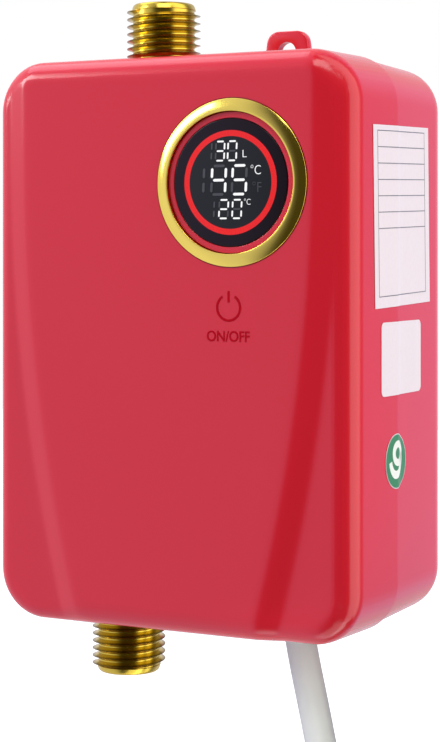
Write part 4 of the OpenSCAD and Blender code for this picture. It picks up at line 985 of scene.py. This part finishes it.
sign_x = 20.1
sign_z = 10.1
sign_r = 3.75
sign_line = 0.68
sign_stem_w = sign_line * 0.95
sign_gap = math.radians(32)
sign_bar = (11.45, 14.45)
sign_y = -case_d - 0.01
sign = bmesh.new()
sign_end = Vector((math.sin(sign_gap), 0, math.cos(sign_gap)))
sign_edge = [sign.verts.new(sign_end * r + Vector((0, sign_y, 0))) for r in (sign_r - sign_line, sign_r)]
bmesh.ops.spin(sign, geom=sign_edge + [sign.edges.new(sign_edge)], cent=(0, 0, 0), axis=back,
               angle=math.tau - 2 * sign_gap, steps=56, use_duplicate=False)
shift(sign, (sign_x, 0, sign_z))
sign_stem = card(sign_stem_w, sign_bar[1] - sign_bar[0])
swing(sign_stem, math.pi / 2, "X")
shift(sign_stem, (sign_x, sign_y, sum(sign_bar) / 2))
join(sign, sign_stem)
join(sign, lettering("ON/OFF", (13.6, 26.4, 1.1, 4), sign_y, "key_words", 0.02))
thicken(sign, (0, -print_t, 0))
# The sign's dark red is painted shade standing in for the sunk lines.
piece(sign, "touch_key_sign", sunk_line_shade("sunk_line_painted_shade"))


# Side plates: a large ruled label and a small plain one in coated white paper, and a round green sticker
# with a numeral, all stuck on the right wall across the joint of the two halves.
def coated_paper(name, base, other):
    """Printed label stock: slight fibre mottle under a satin coat."""
    material, shader, shade = finish(name, base, 0.4)
    feed(shade, shader["Base Color"], blend(shade, noise(shade, 900, 4.0), base, other))
    feed(shade, shader["Roughness"], noise(shade, 200) * 0.2 + 0.3)
    bump(shade, shader, noise(shade, 1500, 3.0), 0.06, 0.0001)
    return material


def wall_x(y):
    """How far out the right wall stands at a depth, easing over the step at the joint."""
    if y < joint_y:
        return case_w / 2 - (joint_y - y) * math.tan(front_draft)
    past = y - joint_y
    return case_w / 2 - joint_step * min(1, past / step_ease) - past * math.tan(rear_draft)


def side_plate(mesh, name, material, mid_y, mid_z, tilt, lift, thick):
    """Stands a flat plate up on the right wall: its X runs back along the wall and its Y runs up."""
    swing(mesh, tilt, "Z")
    for bend in range(-plate_bends, plate_bends + 1):
        score(mesh, (bend * bend_step + joint_y - mid_y, 0, 0), (1, 0, 0))
    bmesh.ops.triangulate(mesh, faces=[f for f in mesh.faces if len(f.verts) > 4])
    top = bmesh.ops.extrude_face_region(mesh, geom=mesh.faces[:])
    raised = {v for v in top["geom"] if isinstance(v, bmesh.types.BMVert)}
    for vert in mesh.verts:
        y = mid_y + vert.co.x
        vert.co = (wall_x(y) + lift + (thick if vert in raised else 0), y, mid_z + vert.co.y)
    bmesh.ops.recalc_face_normals(mesh, faces=mesh.faces)
    piece(mesh, name, material, (), 25)


def strip(mesh, x, z, width, height):
    """Adds one printed rule to a mesh."""
    line = card(width, height)
    shift(line, (x, z, 0))
    join(mesh, line)


def disc(radius):
    mesh = bmesh.new()
    bmesh.ops.create_circle(mesh, cap_ends=True, segments=72, radius=radius)
    return mesh


def broad_arc(centre, radii, line, start, sweep):
    """Part of an ellipse drawn with a broad line, as flat faces; angles in degrees from the right."""
    mesh = bmesh.new()
    begin = Vector((math.cos(math.radians(start)), math.sin(math.radians(start)), 0))
    ends = [mesh.verts.new(begin * radius) for radius in (1 - line, 1 + line)]
    bmesh.ops.spin(mesh, geom=ends + [mesh.edges.new(ends)], cent=(0, 0, 0), axis=up,
                   angle=math.radians(sweep), steps=48, use_merge=sweep == 360, use_duplicate=False)
    bmesh.ops.remove_doubles(mesh, verts=mesh.verts, dist=1e-4)
    resize(mesh, (*radii, 1))
    shift(mesh, (*centre, 0))
    return mesh


step_ease = 3
plate_bends = 30
bend_step = 0.75
paper_finish = coated_paper("label_paper", (0.67, 0.585, 0.59), (0.73, 0.64, 0.645))
ink_finish = coated_paper("label_ink", (0.10, 0.10, 0.11), (0.16, 0.16, 0.17))
label_lift = 0.06
label_t = 0.09
label_w = 39.6
label_h = 48.3
label_mid_y = -34.4
label_mid_z = 34.5
label_tilt = math.radians(1.6)
print_lift = label_lift + label_t + 0.01
film_t = 0.02
side_plate(card(label_w, label_h), "rating_label", paper_finish, label_mid_y, label_mid_z,
           label_tilt, label_lift, label_t)
rules = bmesh.new()
rule_w = 0.24
rule_left = 2.6 - label_w / 2
rule_right = label_w / 2 - 3.2
rule_low = 3 - label_h / 2
rule_high = label_h / 2 - 1.5
row_h = 4.3
row_lines = 7
for z in (rule_low, *(rule_high - row_h * row for row in range(row_lines))):
    strip(rules, (rule_left + rule_right) / 2, z, rule_right - rule_left + rule_w, rule_w)
for x in (rule_left, rule_right):
    strip(rules, x, (rule_low + rule_high) / 2, rule_w, rule_high - rule_low)
side_plate(rules, "rating_label_rules", ink_finish, label_mid_y, label_mid_z, label_tilt,
           print_lift, film_t)
small_label = card(28.6, 19.6, 1.6, 6)
small_mid_y = -35.3
small_mid_z = -3.7
side_plate(small_label, "date_label", paper_finish, small_mid_y, small_mid_z, 0,
           label_lift, label_t)

sticker_r = 7.35
sticker_rim = 0.22
figure_lift = print_lift + 0.05
figure_t = 0.03
sticker_y = -39.6
sticker_z = -31.2
green_finish = coated_paper("sticker_green", (0.010, 0.17, 0.055), (0.015, 0.21, 0.07))
figure_finish = coated_paper("sticker_white", (0.72, 0.73, 0.65), (0.78, 0.79, 0.71))
figure = broad_arc((0.5, 2.1), (2.6, 2.5), 0.38, 0, 360)
join(figure, broad_arc((-0.65, 0.9), (3.8, 4.5), 0.24, 15, -183))
for mesh, name, slot, material, lift, thick in (
    (disc(sticker_r), "test_sticker_rim", "white_plastic", paper_finish, label_lift, label_t),
    (disc(sticker_r - sticker_rim), "test_sticker", "green_wire", green_finish, print_lift, film_t),
    (figure, "test_sticker_figure", "white_plastic", figure_finish, figure_lift, figure_t),
):
    side_plate(mesh, name, material, sticker_y, sticker_z, 0, lift, thick)


# Inside pieces and small hardware: they keep their own shapes and get the finish of the real part,
# such as moulded nylon, lacquered board, drawn steel, rubber and insulated leads.
def moulded(name, dark, light, roughness):
    """Injection-moulded engineering plastic: flow mottle and a fine spark-eroded grain."""
    material, shader, shade = finish(name, dark, roughness)
    flow = noise(shade, 70)
    feed(shade, shader["Base Color"], blend(shade, flow, dark, light))
    feed(shade, shader["Roughness"], flow * 0.2 + (roughness - 0.1))
    bump(shade, shader, noise(shade, 1800, 3.0), 0.12, 0.0001)
    return material


def metal(name, dark, light, roughness, stretch=(1, 1, 1)):
    """Drawn or stamped metal: streaks along the work and a duller haze."""
    material, shader, shade = finish(name, dark, roughness, metallic=1.0)
    streak = noise(shade, 220, 4.0, stretch)
    feed(shade, shader["Base Color"], blend(shade, streak, dark, light))
    feed(shade, shader["Roughness"], streak * 0.2 + (roughness - 0.1))
    bump(shade, shader, streak, 0.08, 0.0001)
    return material


def lacquered_board(name):
    """Green solder lacquer over copper tracks, which show as a paler blocky pattern."""
    material, shader, shade = finish(name, (0.01, 0.11, 0.04), 0.35)
    at = shade.node("TexCoord", (), (), 3)
    tracks = shade.node("TexBrick", {"offset": 0.3}, {
        "Vector": shade.node("Mapping", (), {"Vector": at, "Rotation": (math.pi / 2, 0, 0)}), "Scale": 160.0,
        "Mortar Size": 0.03, "Color1": (0.010, 0.115, 0.042, 1), "Color2": (0.008, 0.085, 0.032, 1),
        "Mortar": (0.03, 0.22, 0.09, 1)})
    feed(shade, shader["Base Color"], tracks)
    feed(shade, shader["Roughness"], noise(shade, 400) * 0.2 + 0.25)
    return material


inside_finishes = {
    "seal_rubber": moulded("seal_rubber", (0.018, 0.018, 0.018), (0.03, 0.03, 0.03), 0.6),
    "steel": metal("drawn_steel", (0.46, 0.46, 0.47), (0.62, 0.62, 0.63), 0.3),
    "brass": metal("stamped_brass", (0.66, 0.44, 0.12), (0.76, 0.54, 0.18), 0.3),
    "can_aluminium": metal("can_aluminium", (0.55, 0.56, 0.58), (0.68, 0.69, 0.7), 0.35),
    "circuit_board": lacquered_board("lacquered_board"),
    "black_plastic": moulded("black_nylon", (0.012, 0.012, 0.013), (0.022, 0.022, 0.024), 0.45),
    "white_plastic": moulded("white_nylon", (0.72, 0.71, 0.68), (0.80, 0.79, 0.77), 0.45),
    "blue_plastic": moulded("relay_blue", (0.02, 0.10, 0.42), (0.03, 0.13, 0.50), 0.35),
    "yellow_plastic": moulded("winding_yellow", (0.72, 0.50, 0.03), (0.80, 0.58, 0.05), 0.45),
    "brown_plastic": moulded("cutout_brown", (0.06, 0.022, 0.010), (0.085, 0.03, 0.014), 0.4),
    "red_plastic": moulded("button_red", (0.55, 0.02, 0.02), (0.62, 0.03, 0.03), 0.35),
    "grey_rubber": cord_finish,
    "brown_wire": vinyl("lead_brown", (0.09, 0.035, 0.014), (0.12, 0.045, 0.02)),
    "blue_wire": vinyl("lead_blue", (0.02, 0.09, 0.45), (0.03, 0.12, 0.52)),
    "green_wire": vinyl("lead_green", (0.05, 0.28, 0.04), (0.08, 0.36, 0.05)),
    "dark_lens": moulded("digit_block", (0.01, 0.01, 0.011), (0.018, 0.018, 0.02), 0.3),
    "red_light": glowing("light_pipe", (0.85, 0.03, 0.03)),
}
for entry in frame["record"]["subparts"]:
    kept = frame["nodes"][entry["node"]]
    if entry["material_slot"] in inside_finishes:
        for seat in kept.material_slots:
            seat.material = inside_finishes[entry["material_slot"]]
